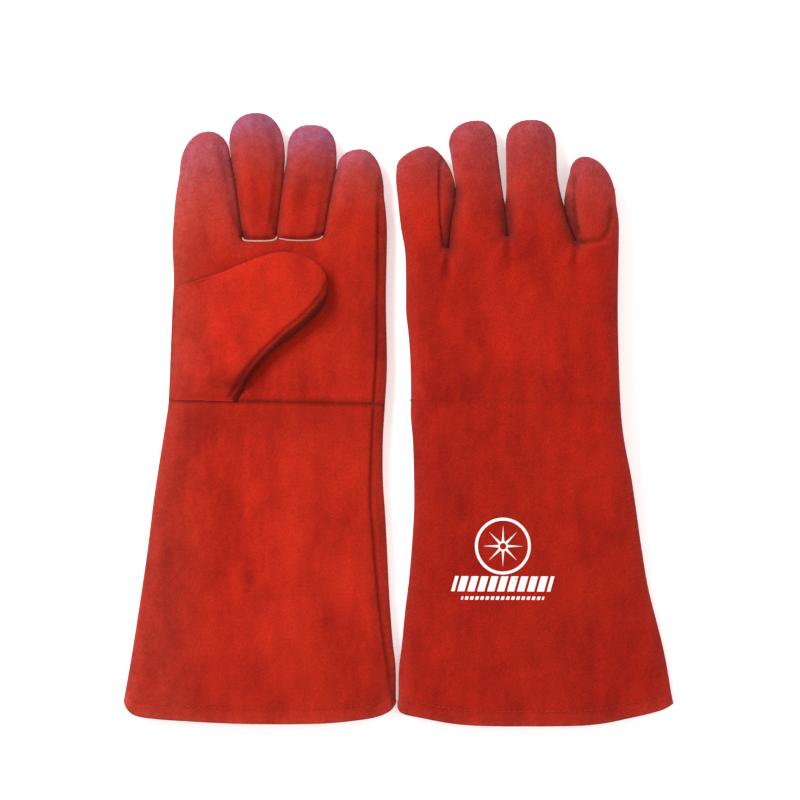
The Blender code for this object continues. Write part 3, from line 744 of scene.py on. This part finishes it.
def groove_depth(glove, p, side, widen=1.0):
    depth = np.zeros(len(p))
    for where, line, deep, width in glove.grooves():
        away = distance(p, line)
        depth = np.maximum(depth, deep * np.exp(-(away / (widen * width)) ** 2) * (side == where))
    return depth


def sink(points, normals, pattern, glove):
    """Seams drawn down into the leather, and folds and fine creases over it. Points in metres."""
    p, side = split(pattern)
    rough = np.array([noise.noise(Vector((x / 9, y / 13, s * 4.0)))
                      + 0.5 * noise.noise(Vector((x / 4.2, y / 5, s * 9.0))) for (x, y), s in zip(p, side)])
    away = distance(p, glove.edge) / 6
    raised = (0.25 * rough + fold_heights(glove, p, side)) * np.clip(away, 0.1, 1)
    raised = (raised - groove_depth(glove, p, side)) * np.clip(away, 0.05, 1)
    return points + normals * (np.maximum(raised, -1.7) * MM)[:, None]


def clamp_floor(points, lowest=0.05):
    points[:, 2] = np.maximum(points[:, 2], lowest * MM)
    return points


# ------------------------------------------------------------------ materials

class Nodes:
    """A material's node tree. Its methods return output sockets."""

    def __init__(self, name):
        self.material = bpy.data.materials.new(name)
        self.material.use_nodes = True
        self.tree = self.material.node_tree
        self.tree.nodes.clear()
        self.shader = self.node("ShaderNodeBsdfPrincipled")
        out = self.node("ShaderNodeOutputMaterial")
        self.tree.links.new(self.shader.outputs[0], out.inputs[0])

    def node(self, kind, inputs=None, **settings):
        made = self.tree.nodes.new(kind)
        for key, value in settings.items():
            setattr(made, key, value)
        for key, value in (inputs or {}).items():
            self.put(made.inputs[key], value)
        return made

    def put(self, socket, value):
        if isinstance(value, bpy.types.NodeSocket):
            self.tree.links.new(value, socket)
        else:
            socket.default_value = value

    def attribute(self, name, output="Vector"):
        return self.node("ShaderNodeAttribute", attribute_name=name).outputs[output]

    def math(self, operation, a, b=0.0, c=0.0, clamp=False):
        made = self.node("ShaderNodeMath", {0: a, 1: b, 2: c}, operation=operation, use_clamp=clamp)
        return made.outputs[0]

    def grey(self, value):
        return self.node("ShaderNodeCombineColor", {0: value, 1: value, 2: value}).outputs[0]

    def surface(self, inputs):
        for key, value in inputs.items():
            self.put(self.shader.inputs[key], value)

    def scaled(self, vector, by):
        return self.node("ShaderNodeVectorMath", {0: vector, 1: by}, operation="MULTIPLY").outputs[0]

    def noise(self, vector, size, detail=2.0, roughness=0.5):
        """Noise whose features are about size across, in the vector's unit."""
        return self.node("ShaderNodeTexNoise", {"Vector": vector, "Scale": 1 / size, "Detail": detail,
                                                "Roughness": roughness}).outputs["Fac"]

    def span(self, value, low, high, to_low=0.0, to_high=1.0):
        return self.node("ShaderNodeMapRange", {0: value, 1: low, 2: high, 3: to_low, 4: to_high}).outputs[0]

    def mix(self, factor, a, b, blend="MIX"):
        made = self.node("ShaderNodeMix", data_type="RGBA", blend_type=blend)
        self.put(made.inputs[0], factor)
        self.put(made.inputs[6], a)
        self.put(made.inputs[7], b)
        return made.outputs[2]

    def bump(self, height, distance_mm, strength=1.0):
        return self.node("ShaderNodeBump", {"Height": height, "Distance": distance_mm * MM,
                                            "Strength": strength}).outputs[0]


# Large lighter and darker areas of the side that lies up, partly painted light and shade and partly the
# leather's own tone; the dark spots on the left glove's finger fronts and at its crotches are painted shade
# in hollows: (middle, half sizes, change).
LIGHT_AND_TONES = {
    "left": [((-18, -93), (45, 55), 0.12), ((3, -14), (80, 14), -0.14), ((-72, -110), (18, 90), -0.16),
             ((-62, 50), (26, 50), -0.12), ((-50, 130), (22, 50), -0.05), ((-8, 140), (7, 16), -0.1),
             ((16, 142), (8, 20), -0.2), ((-22.4, 110), (1.8, 3.0), -0.5),
             ((27.6, 109.6), (3.2, 1.8), -0.5), ((46, 60), (12, 70), -0.08),
             ((70, -60), (10, 150), -0.12), ((0, -190), (110, 18), -0.08),
             ((-14, 180), (20, 16), -0.12)],
    "right": [((-45, 85), (26, 34), -0.08), ((20, -160), (50, 34), -0.1), ((48, -130), (30, 60), -0.05),
              ((0, 50), (50, 30), 0.04), ((-60, 160), (18, 14), -0.08), ((50, 130), (20, 30), -0.05),
              ((-66, -40), (10, 160), -0.05), ((0, 165), (70, 26), -0.04)],
}


def rgb(red, green, blue):
    """An sRGB colour given as 0 to 255, as linear values."""
    return tuple(((c / 255 + 0.055) / 1.055) ** 2.4 for c in (red, green, blue)) + (1.0,)


PURPLE = rgb(150, 84, 112)
# Brightness of all the leather, and (darkening, width) of the painted shade beside a slit.
OVERALL = 0.9
SLIT_SHADE = {"left": (0.34, 2.4), "right": (0.6, 4.2)}


def suede(name, deep, bright, dusty, nap, coarse, printed=None):
    """Split leather: mottled, napped, dusty from wear and from a painted pinkish sheen, and darkened by
    painted shade and light. nap is the size of its grain, and coarse its strength. printed is the middle of a
    print, or None."""
    m = Nodes(name)
    rest, wear_and_sheen, shade = m.attribute("rest"), m.attribute("wear_and_sheen", "Fac"), m.attribute("shade", "Fac")
    clouds = m.noise(rest, 46, 3, 0.55)
    streaks = m.noise(m.scaled(rest, (1, 0.35, 1)), 13, 3, 0.6)
    patches = m.noise(rest, 5.5, 3, 0.6)
    grain = m.noise(rest, nap, 3, 0.7)
    colour = m.mix(m.span(clouds, 0.32, 0.68), deep, bright)
    colour = m.mix(m.span(streaks, 0.35, 0.7, 0, 0.7), colour, bright)
    colour = m.mix(m.span(patches, 0.35, 0.75, 0, 0.30), colour, deep)
    tint = m.mix(m.attribute("purple", "Fac"), dusty, PURPLE)
    specks = m.span(m.noise(m.scaled(rest, (1, 0.8, 1)), 0.9, 2, 0.8), 0.58, 0.74, 0, 0.3)
    colour = m.mix(specks, colour, dusty)
    # Dust from wear at the tips and the hem, together with the painted sheen at the edges and the painted
    # light on the left side.
    dust_sheen_mix = m.math("MULTIPLY", wear_and_sheen, m.span(patches, 0.25, 0.7, 0.62, 1.15), clamp=True)
    colour = m.mix(dust_sheen_mix, colour, tint)
    dark = m.math("MULTIPLY", m.span(grain, 0.3, 0.72, 1 - 0.26 * coarse, 1 + 0.2 * coarse),
                  m.span(patches, 0.3, 0.7, 0.91, 1.08))
    dark = m.math("MULTIPLY", dark, m.span(streaks, 0.3, 0.7, 0.92, 1.07))
    # Painted shade and light from the shade attribute: seams, slits, hollows, ridges, the thumb's edge and
    # large areas.
    dark = m.math("MULTIPLY", dark, shade)
    colour = m.mix(1.0, colour, m.grey(dark), "MULTIPLY")
    if printed:
        colour = m.mix(print_mask(m, rest, grain, printed), colour, rgb(246, 240, 238))
    tufts = m.math("MULTIPLY", m.noise(rest, nap * 3.1, 2), 0.9)
    height = m.math("ADD", m.math("MULTIPLY", grain, 0.75), tufts)
    m.surface({"Base Color": colour, "Normal": m.bump(height, 0.5, coarse), "Roughness": 0.92,
               "Specular IOR Level": 0.12, "Sheen Weight": 0.045, "Sheen Roughness": 0.55,
               "Sheen Tint": (1.0, 0.62, 0.58, 1.0)})
    m.material.diffuse_color = bright
    return m.material


def print_mask(m, rest, grain, middle):
    """A plain screen print: a spark burst in a ring, over a row of slanted blocks and a row of dashes."""
    parts = m.node("ShaderNodeSeparateXYZ", {0: rest})
    x = m.math("SUBTRACT", parts.outputs[0], middle[0])
    y = m.math("SUBTRACT", parts.outputs[1], middle[1])
    radius = m.math("SQRT", m.math("ADD", m.math("MULTIPLY", x, x), m.math("MULTIPLY", y, y)))
    ring = m.math("LESS_THAN", m.math("ABSOLUTE", m.math("SUBTRACT", radius, 17.6)), 0.95)
    turn = m.math("ABSOLUTE", m.math("SINE", m.math("MULTIPLY", m.math("ARCTAN2", y, x), 4.0)))
    reach = m.math("DIVIDE", 13.4, m.math("ADD", 1.0, m.math("MULTIPLY", turn, 3.4)))
    burst = m.math("LESS_THAN", radius, reach)
    core = m.math("LESS_THAN", radius, 2.2)
    burst = m.math("MULTIPLY", burst, m.math("SUBTRACT", 1.0, core))

    def row(below, half_height, half_width, pitch, share, slant):
        v = m.math("ADD", y, below)
        u = m.math("SUBTRACT", x, m.math("MULTIPLY", v, slant))
        within = m.math("MULTIPLY", m.math("LESS_THAN", m.math("ABSOLUTE", v), half_height),
                        m.math("LESS_THAN", m.math("ABSOLUTE", u), half_width))
        phase = m.math("FRACT", m.math("ADD", m.math("DIVIDE", u, pitch), 100 + 0.5 * share))
        return m.math("MULTIPLY", within, m.math("LESS_THAN", phase, share))

    blocks = row(24.8, 5.0, 32.9, 6.58, 0.72, 0.28)
    dashes = row(34.2, 1.1, 27.4, 3.4, 0.62, 0.28)
    mark = m.math("MAXIMUM", m.math("MAXIMUM", ring, burst), m.math("MAXIMUM", blocks, dashes))
    wear = m.math("ADD", m.math("MULTIPLY", grain, 0.6), m.noise(rest, 2.0, 3, 0.7))
    return m.math("MULTIPLY", mark, m.span(wear, 0.95, 1.02, 0.97, 0.35))


def cotton(name, colour):
    """Plain woven cotton, for the lining and the threads."""
    m = Nodes(name)
    rest = m.attribute("rest")
    wave = {"Vector": rest, "Scale": 0.55, "Distortion": 0.6}
    weave = [m.node("ShaderNodeTexWave", wave, bands_direction=way).outputs["Fac"] for way in "XY"]
    height = m.math("MAXIMUM", *weave)
    tone = m.span(m.noise(rest, 14, 3), 0.3, 0.7, 0.86, 1.0)
    shade = m.math("MULTIPLY", tone, m.span(height, 0, 1, 0.8, 1.0))
    m.surface({"Base Color": m.mix(1.0, colour, m.grey(shade), "MULTIPLY"), "Roughness": 0.95,
               "Normal": m.bump(height, 0.25, 0.8), "Specular IOR Level": 0.1})
    m.material.diffuse_color = colour
    return m.material


LEFT_SUEDE = (rgb(150, 19, 6), rgb(187, 36, 15), rgb(168, 68, 54), 1.4, 0.8)
RIGHT_SUEDE = (rgb(143, 15, 3), rgb(181, 31, 11), rgb(160, 64, 54), 1.05, 1.1)
PRINT_MIDDLE = (-9.2, -93.9)
LEATHERS = {"left": suede("left_suede", *LEFT_SUEDE), "right": suede("right_suede", *RIGHT_SUEDE),
            "print": suede("right_suede_printed", *RIGHT_SUEDE, PRINT_MIDDLE)}
COTTON = cotton("cotton_lining", rgb(214, 204, 190))
SEWING = cotton("sewing", rgb(184, 58, 42))
THREAD = cotton("thread", rgb(216, 164, 152))


# ------------------------------------------------------------------ the visible pieces

# How dust from wear lies on the fingers: (height where it begins, height where it is full, how dusty, how
# purple).
DUST = {"left": [(84, 165, 0.75, 0.45), (136, 184, 0.9, 0.9), (132, 174, 0.9, 0.9), (118, 160, 0.8, 0.4)],
        "right": [(120, 168, 0.6, 0.25), (112, 184, 0.7, 0.35), (112, 184, 0.7, 0.3), (90, 160, 0.65, 0.25)]}


def wear_and_light_at(glove, p):
    """(how dusty, how purple) the leather is, from 0 to 1: dust from wear at the fingertips and the hem, a
    painted pinkish sheen along the edges, and painted light on the left glove's left side.
    """
    begin, full, dusty, purple = np.array(DUST[glove.side])[glove.finger_of(p)].T
    rise = np.clip((p[:, 1] - begin) / (full - begin), 0, 1) ** 1.3 * (p[:, 1] > 84)
    # Painted sheen: a pale pinkish rim along the whole edge, a little purple too, where light grazes the nap.
    rim = 0.30 * np.exp(-distance(p, glove.edge) / 4.0)
    hem = 0.30 * np.exp(-distance(p, glove.hem) / 5.0)
    # Painted light: the left glove's left side, towards the key light, is made paler and pinker.
    left = 0.42 * ease((-34 - p[:, 0]) / 46) * (0.5 + 0.5 * ease((p[:, 1] + 30) / 80))
    wear_and_sheen = np.clip(dusty * rise + rim + hem + left * (glove.side == "left"), 0, 0.95)
    return wear_and_sheen, np.clip(purple * rise ** 2 + 0.08 * rim / 0.3, 0, 1)


def shade_at(glove, p, side):
    """Painted shade in and beside the leather's seams, beside its slits and in its hollows, and a painted
    highlight on its ridges; times the overall brightness and the large painted light and tones.
    """
    strength, width = SLIT_SHADE[glove.side]
    beside = strength * np.exp(-(glove.from_slits(p) / width) ** 2)
    dark = 0.26 * groove_depth(glove, p, side, 1.1) - 0.11 * fold_heights(glove, p, side) + beside
    return OVERALL * np.clip(1 - dark, 0.4, 1.08) * light_and_tones_at(glove, p, side)


def light_and_tones_at(glove, p, side):
    total = np.zeros(len(p))
    for middle, half, change in LIGHT_AND_TONES[glove.side]:
        total += change * np.exp(-(((p - middle) / half) ** 2).sum(1))
    return 1 + total * (side == glove.upper)


def fields(points, glove, pattern, shade=None):
    p, side = split(pattern)
    rest = np.column_stack([p, points[:, 2] / MM])
    wear_and_sheen, purple = wear_and_light_at(glove, p)
    return {"rest": rest, "wear_and_sheen": wear_and_sheen, "purple": purple,
            "shade": shade_at(glove, p, side) if shade is None else shade}


def thumb_shade(glove, pattern):
    p, side = split(pattern)
    top = side > 0
    seam = distance(p, smooth(THUMB_SEAM, EDGE_STEP))
    below = (p[:, 1] < line_y(THUMB_SEAM[::-1], p[:, 0])) & (glove.beyond_fold(p) > THUMB_SEAM_START)
    # Painted shade: a dark line in the thumb's seam, and deep shade over the strip below it, under the edge
    # of the tube.
    dark = 0.35 * np.exp(-(seam / 1.5) ** 2) * top + 0.75 * ease(seam / 3) * below * top
    base = light_and_tones_at(glove, p, np.ones(len(p)))
    return OVERALL * (1 - dark) * (base + (1.1 - base) * glove.thumb_ramp(p))


def declare(obj, glove, node):
    """Bakes a panel's placement into its mesh and hides the frame's part of the same node."""
    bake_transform(obj)
    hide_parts(f"{glove.side}_{node}")


def panels(glove, kinds, surface):
    """Cuts a finished shell into its leather panels."""
    points, _, faces, panel, pattern = surface
    normals = smooth_normals(points, [f for f, p in zip(faces, panel) if kinds[p] is not None])
    attributes = fields(points, glove, pattern, thumb_shade(glove, pattern) if None in kinds else None)
    for number, kind in enumerate(kinds):
        if kind is None:
            continue
        mine = [f for f, p in zip(faces, panel) if p == number]
        printed = glove.side == "right" and kind == "cuff_back"
        obj = panel_object(f"{glove.side}_{kind}_leather", points, normals, mine, LEATHER, attributes,
                           LEATHERS["print" if printed else glove.side])
        declare(obj, glove, kind)


def drawn_in(points, pattern, edge):
    """Points moved in from the glove's edge, in the plane, so that a lining has room inside it."""
    p = split(pattern)[0]
    away = distance(p, edge)
    rise = [distance(p + step, edge) - distance(p - step, edge) for step in ((1.5, 0), (0, 1.5))]
    towards = 0.3 * inward(p, edge) + np.column_stack(rise) / 3
    towards /= np.maximum(np.linalg.norm(towards, axis=1)[:, None], 1e-9)
    moved = points.copy()
    moved[:, :2] += towards * (LINING_DRAWN * MM * np.exp(-(away / LINING_REACH) ** 2))[:, None]
    return moved


def inward(p, edge):
    """The direction into the glove, square to the nearest stretch of its edge."""
    which = nearest(p, edge)[1]
    along = edge[which + 1] - edge[which]
    along = along / np.maximum(np.linalg.norm(along, axis=1)[:, None], 1e-9)
    return np.column_stack([-along[:, 1], along[:, 0]])


def linings(glove, mesh, kinds, groups, edge, keep=None):
    """Each group's lining: the unsubdivided shell's faces, moved inward."""
    points, _, faces, panel, pattern = arrays(mesh)
    p, side = split(pattern)
    lower = groove_depth(glove, p, side, 2.5) + np.maximum(0, -fold_heights(glove, p, side))
    points = drawn_in(points, pattern, edge)
    normals = smooth_normals(points, faces)
    if keep is None:
        points -= normals * (0.8 * lower * MM)[:, None]
    attributes = fields(points, glove, pattern)
    for node, members, which in groups:
        numbers = {k for k, kind in enumerate(kinds) if kind in members}
        mine = [f for f, p in zip(faces, panel) if p in numbers]
        if keep:
            middles = np.array([pattern[list(f), :2].mean(0) for f in mine])
            mine = [f for f, kept in zip(mine, keep(middles)) if kept]
        obj = panel_object(f"{glove.side}_{node}_cloth", points, normals, mine, LINING, attributes,
                           COTTON, LINING_GAP)
        declare(obj, glove, node)


def lining_groups():
    groups = [("cuff_lining", ("cuff_front", "cuff_back", "cuff_welt"), "wrist"),
              ("hand_lining", ("palm", "hand_back", "hand_welt"), "wrist")]
    for name in FINGERS:
        members = tuple(f"{name}_finger_{part}" for part in ("front", "back", "side"))
        groups.append((f"{name}_finger_lining", members, name))
    return groups


def mouth_loop(faces):
    """The open hem of a shell as an ordered closed loop of point numbers."""
    sides = {(a, b) for f in faces for a, b in zip(f, f[1:] + f[:1])}
    following = {a: b for a, b in sides if (b, a) not in sides}
    start = next(iter(following))
    loop = [start]
    while following[loop[-1]] != start:
        loop.append(following[loop[-1]])
    return np.array(loop)


def rolled_hem(glove, points, normals, faces, pattern):
    """The cuff's leather turned in at the mouth: a rounded edge and a strip up inside, both of them
    smaller towards the corners."""
    loop = mouth_loop(faces)
    base, up = points[loop], normals[loop].copy()
    spread = np.gradient(glove.hem, axis=0)
    flat_out = np.column_stack([spread[:, 1], -spread[:, 0]])
    flat_out /= np.linalg.norm(flat_out, axis=1)[:, None]
    across = pattern[loop, 0]
    sideways = 0.5 * np.interp(across, glove.hem[:, 0], flat_out[:, 0])
    out = np.column_stack([sideways, -np.ones(len(loop)), np.zeros(len(loop))])
    out /= np.linalg.norm(out, axis=1)[:, None]
    up -= out * (up * out).sum(1)[:, None]
    up /= np.linalg.norm(up, axis=1)[:, None]
    corner = np.minimum(across - across.min(), across.max() - across)
    room = np.clip(corner / 12, 0.12, 1)[:, None]
    run = np.clip((corner - 4) / 22, 0.1, 1)[:, None]
    angles = np.radians(np.linspace(90, -90, 7))
    profile = [(math.cos(a) * HEM_ROLL, (math.sin(a) - 1) * HEM_ROLL) for a in angles]
    profile += [(-HEM_STRIP, -2 * HEM_ROLL), (-HEM_STRIP, -LEATHER - HEM_GAP), (-0.05, -LEATHER - HEM_GAP)]
    rings = [base + (out * t * (run if t < -1 else 1) + up * n * room) * MM for t, n in profile]
    count, n = len(profile), len(loop)
    verts = clamp_floor(np.vstack(rings))
    quads = [(k * n + i, (k + 1) % count * n + i, (k + 1) % count * n + (i + 1) % n, k * n + (i + 1) % n)
             for k in range(count) for i in range(n)]
    attributes = fields(verts, glove, np.vstack([pattern[loop]] * count))
    mesh = make_mesh(f"{glove.side}_cuff_hem_leather", verts, quads, attributes)
    mesh.materials.append(LEATHERS[glove.side])
    mesh.shade_smooth()
    obj = placed(mesh.name, mesh)
    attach(obj, f"{glove.side}_cuff")
    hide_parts(f"{glove.side}_cuff_hem")


def tube(line, radius, sides=6):
    """A thread of six sides through the points of a line, in metres, with closed ends."""
    line = np.asarray(line)
    along = np.gradient(line, axis=0)
    along /= np.linalg.norm(along, axis=1)[:, None]
    across = np.cross(along, (0, 0, 1.0))
    across /= np.maximum(np.linalg.norm(across, axis=1)[:, None], 1e-9)
    up = np.cross(across, along)
    size = np.full(len(line), radius)
    size[[0, -1]] *= 0.35
    verts = [p + s * (a * math.cos(t) + u * math.sin(t)) for p, s, a, u in zip(line, size, across, up)
             for t in np.arange(sides) * 2 * math.pi / sides]
    steps = [(i, (i + 1) % sides) for i in range(sides)]
    faces = [(k + i, k + j, k + sides + j, k + sides + i)
             for k in range(0, (len(line) - 1) * sides, sides) for i, j in steps]
    faces += [tuple(range(sides))[::-1], tuple(range(len(verts) - sides, len(verts)))]
    return verts, faces


def stitches(glove, tree, line, side):
    """A row of stitches laid on the leather along a line of the pattern, as parts for cord_piece."""
    line = resample(line, STITCH_PITCH)
    parts = []
    for a, b in zip(line[:-1], line[1:]):
        spots = laid_line(glove, tree, [a, a + (b - a) * STITCH / STITCH_PITCH], side, 0.1, 0.7)
        if len(spots) > 3:
            spots[[0, -1], 2] -= 0.35 * MM * side * glove.upper
            parts.append((spots, STITCH_RADIUS))
    return parts


def build(side):
    """One glove's panels, linings and hem. The thumb is laid on the settled palm."""
    glove = Glove(side)
    shell, kinds = hand_shell(glove)
    relax_hand(glove, shell)
    thumb, thumb_kinds = thumb_shell(glove, shell)
    relax_thumb(glove, thumb)
    groups = lining_groups()
    linings(glove, shell, kinds, groups, glove.edge)
    linings(glove, thumb, thumb_kinds, [("thumb_lining", ("thumb_front", "thumb_back"), "thumb")],
            glove.thumb_ring[::-1], lambda p: THUMB_THICK * glove.thumb_ramp(p) * glove.thumb_round(p) > 6.0)
    surfaces = {}
    for key, mesh in (("hand", shell), ("thumb", thumb)):
        points, normals, faces, panel, pattern = arrays(subdivide(mesh))
        points = edges_restored(glove, points, pattern, glove.edge if key == "hand" else glove.thumb_ring)
        if key == "hand":
            points = sink(points, normals, pattern, glove)
            points = lower_under_thumb(glove, points, normals, pattern)
        else:
            points = crease_thumb(glove, points, normals, pattern)
        surfaces[key] = (clamp_floor(points), normals, faces, panel, pattern)
    panels(glove, kinds, surfaces["hand"])
    panels(glove, thumb_kinds, surfaces["thumb"])
    points, _, faces, _, pattern = surfaces["hand"]
    normals = smooth_normals(points, faces)
    rolled_hem(glove, points, normals, faces, pattern)
    for mesh in (shell, thumb):
        bpy.data.meshes.remove(mesh)
    return glove, surfaces


def edges_restored(glove, points, pattern, edge):
    """Subdivision draws the outline in; its points go back out to the pattern's line, and in the
    slits a little beyond it, where the fingers press on each other."""
    p = split(pattern)[0]
    share = np.exp(-(distance(p, edge) / 2.2) ** 2)
    pressed = SLIT_PRESS * np.exp(-(glove.from_slits(p) / 0.8) ** 2) * (edge is glove.edge)
    points = points.copy()
    points[:, :2] += share[:, None] * ((p + glove.origin) * MM - points[:, :2])
    points[:, :2] -= inward(p, edge) * (share * pressed * MM)[:, None]
    return points


def lower_under_thumb(glove, points, normals, pattern):
    """The palm makes room under the heel of the thumb, where the heel's panel is the outer one."""
    p, side = split(pattern)
    ring = glove.thumb_ring
    deep = ease(distance(p, ring) / 4) * inside(p, ring) * (side > 0)
    deep = deep * (1 - 0.6 * ease(glove.beyond_fold(p) / 20))
    return points - normals * (3.0 * deep * MM)[:, None]


def crease_thumb(glove, points, normals, pattern):
    p, side = split(pattern)
    top = side > 0
    seam = distance(p, smooth(THUMB_SEAM, EDGE_STEP))
    depth = 1.2 * np.exp(-(seam / 1.6) ** 2) * top * (glove.beyond_fold(p) > THUMB_SEAM_START)
    rough = undulation(p, 4.4, 9) * 0.25 * np.clip(distance(p, glove.free) / 6, 0.2, 1)
    follow = fold_heights(glove, p, np.ones(len(p))) * (1 - glove.thumb_ramp(p)) * top
    return points + normals * ((rough * top + follow - depth) * MM)[:, None]


def relax_hand(glove, mesh):
    """The shell settles under a little pressure, with its outline and hem held."""
    pattern = arrays(mesh)[4]
    p, side = split(pattern)
    held = (distance(p, glove.edge) < 0.01) | (distance(p, glove.hem) < 0.01)
    tight = 0.8 * np.exp(-(distance(p, glove.edge) / 5) ** 2)
    for where, line, *_ in glove.grooves():
        near = np.exp(-(distance(p, line) / 4) ** 2) * (side == where)
        tight = np.maximum(tight, near)
    puff(mesh, held, tight, PRESSURE, HAND_PUFF)


def relax_thumb(glove, mesh):
    pattern = arrays(mesh)[4]
    p, side = split(pattern)
    away = distance(p, glove.thumb_ring)
    puff(mesh, (away < 0.01) | (side < 0), 0.8 * np.exp(-(away / 5) ** 2), 0.6 * PRESSURE, THUMB_PUFF)


def surface_tree(surface):
    points, _, faces, *_ = surface
    return BVHTree.FromPolygons([tuple(p) for p in points], faces)


def laid_line(glove, tree, line, side, lift, step=0.9):
    """A line of the pattern, laid on the surface from the outside, in metres."""
    hits = []
    for spot in smooth(line, step):
        start = Vector(to_world(glove.data, np.array([spot]), np.array([side * CLEAR_OF_ALL]))[0])
        place, normal, *_ = tree.ray_cast(start, Vector((0, 0, -side * glove.upper)))
        if place is not None:
            hits.append(tuple(place + normal * lift * MM))
    return np.array(hits)


def cord_piece(name, parts, material):
    """Several threads as one piece."""
    verts, faces = [], []
    for line, radius in parts:
        more, shapes = tube(line, radius * MM)
        faces += [tuple(i + len(verts) for i in f) for f in shapes]
        verts += more
    mesh = make_mesh(name, verts, faces, {"rest": np.array(verts) / MM})
    mesh.materials.append(material)
    mesh.shade_smooth()
    obj = placed(name, mesh)
    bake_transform(obj)


# The cut edges of the leather at the foot of the fingers, on the palm side.
RAW_RADII = (0.6, 0.45)
RAW_EDGES = {
    "left": [[(-23.9, 108.4), (-23.2, 106.4), (-20, 105.5), (-8.6, 105.3), (-2.4, 106.2), (-0.6, 108.4)],
             [(0.2, 107.2), (7.9, 105.8), (21.1, 105.7), (27.7, 107), (29.9, 109.2)]],
    "right": [[(-44.6, 103.4), (-38, 102.2), (-24, 103.6), (-8, 107.8), (-5.4, 110)],
              [(-4.6, 108.6), (16, 107.2), (32, 105.6), (38.9, 107.4)]],
}

# The stage, in metres: the floor, the lights' (name, place, size, power), and a camera that looks
# straight down from its place and sees a square of this width at the gloves' middle height.
FLOOR_LEVEL = -0.0002
FLOOR_HALF = 3
WORLD_LIGHT = 0.68
LIGHTS = (("key", (-1.3, 1.0, 1.3), 0.9, 46), ("fill", (1.1, -0.3, 1.8), 1.6, 6))
CAMERA_AT = (-0.0003, 0.0115, 2.4)
VIEW_WIDTH = 0.528
GLOVE_MIDDLE = 0.015


def stage_and_camera():
    corners = [(x * FLOOR_HALF, y * FLOOR_HALF, FLOOR_LEVEL) for x, y in ((-1, -1), (1, -1), (1, 1), (-1, 1))]
    floor = make_mesh("floor", corners, [(0, 1, 2, 3)])
    m = Nodes("paper")
    m.surface({"Base Color": (0.96, 0.96, 0.96, 1), "Roughness": 0.9, "Specular IOR Level": 0.0,
               "Emission Color": (1, 1, 1, 1), "Emission Strength": 0.4})
    floor.materials.append(m.material)
    placed("floor", floor)
    world = bpy.data.worlds.new("studio")
    world.use_nodes = True
    background = world.node_tree.nodes["Background"]
    background.inputs[0].default_value = (1, 0.99, 0.985, 1)
    background.inputs[1].default_value = WORLD_LIGHT
    bpy.context.scene.world = world
    for name, place, size, power in LIGHTS:
        light = placed(name, bpy.data.lights.new(name, "AREA"))
        light.data.size, light.data.energy = size, power
        light.location = place
        light.rotation_euler = (-Vector(place)).to_track_quat("-Z", "Y").to_euler()
    camera = placed("camera", bpy.data.cameras.new("camera"))
    camera.data.lens_unit = "FOV"
    camera.data.angle = 2 * math.atan(VIEW_WIDTH / 2 / (CAMERA_AT[2] - GLOVE_MIDDLE))
    camera.location = CAMERA_AT
    bpy.context.scene.camera = camera
    bpy.context.scene.view_settings.view_transform = "Standard"


for side in GLOVES:
    glove, surfaces = build(side)
    tree = surface_tree(surfaces["hand"])
    rows = [stitch for up in (1, -1) for stitch in stitches(glove, tree, glove.seam("hem"), up)]
    cord_piece(f"{side}_hem_stitches", rows, SEWING)
    edges = [(laid_line(glove, tree, line, 1, 0.25), radius)
             for line, radius in zip(RAW_EDGES[side], RAW_RADII)]
    cord_piece(f"{side}_raw_edge", edges, THREAD)
stage_and_camera()
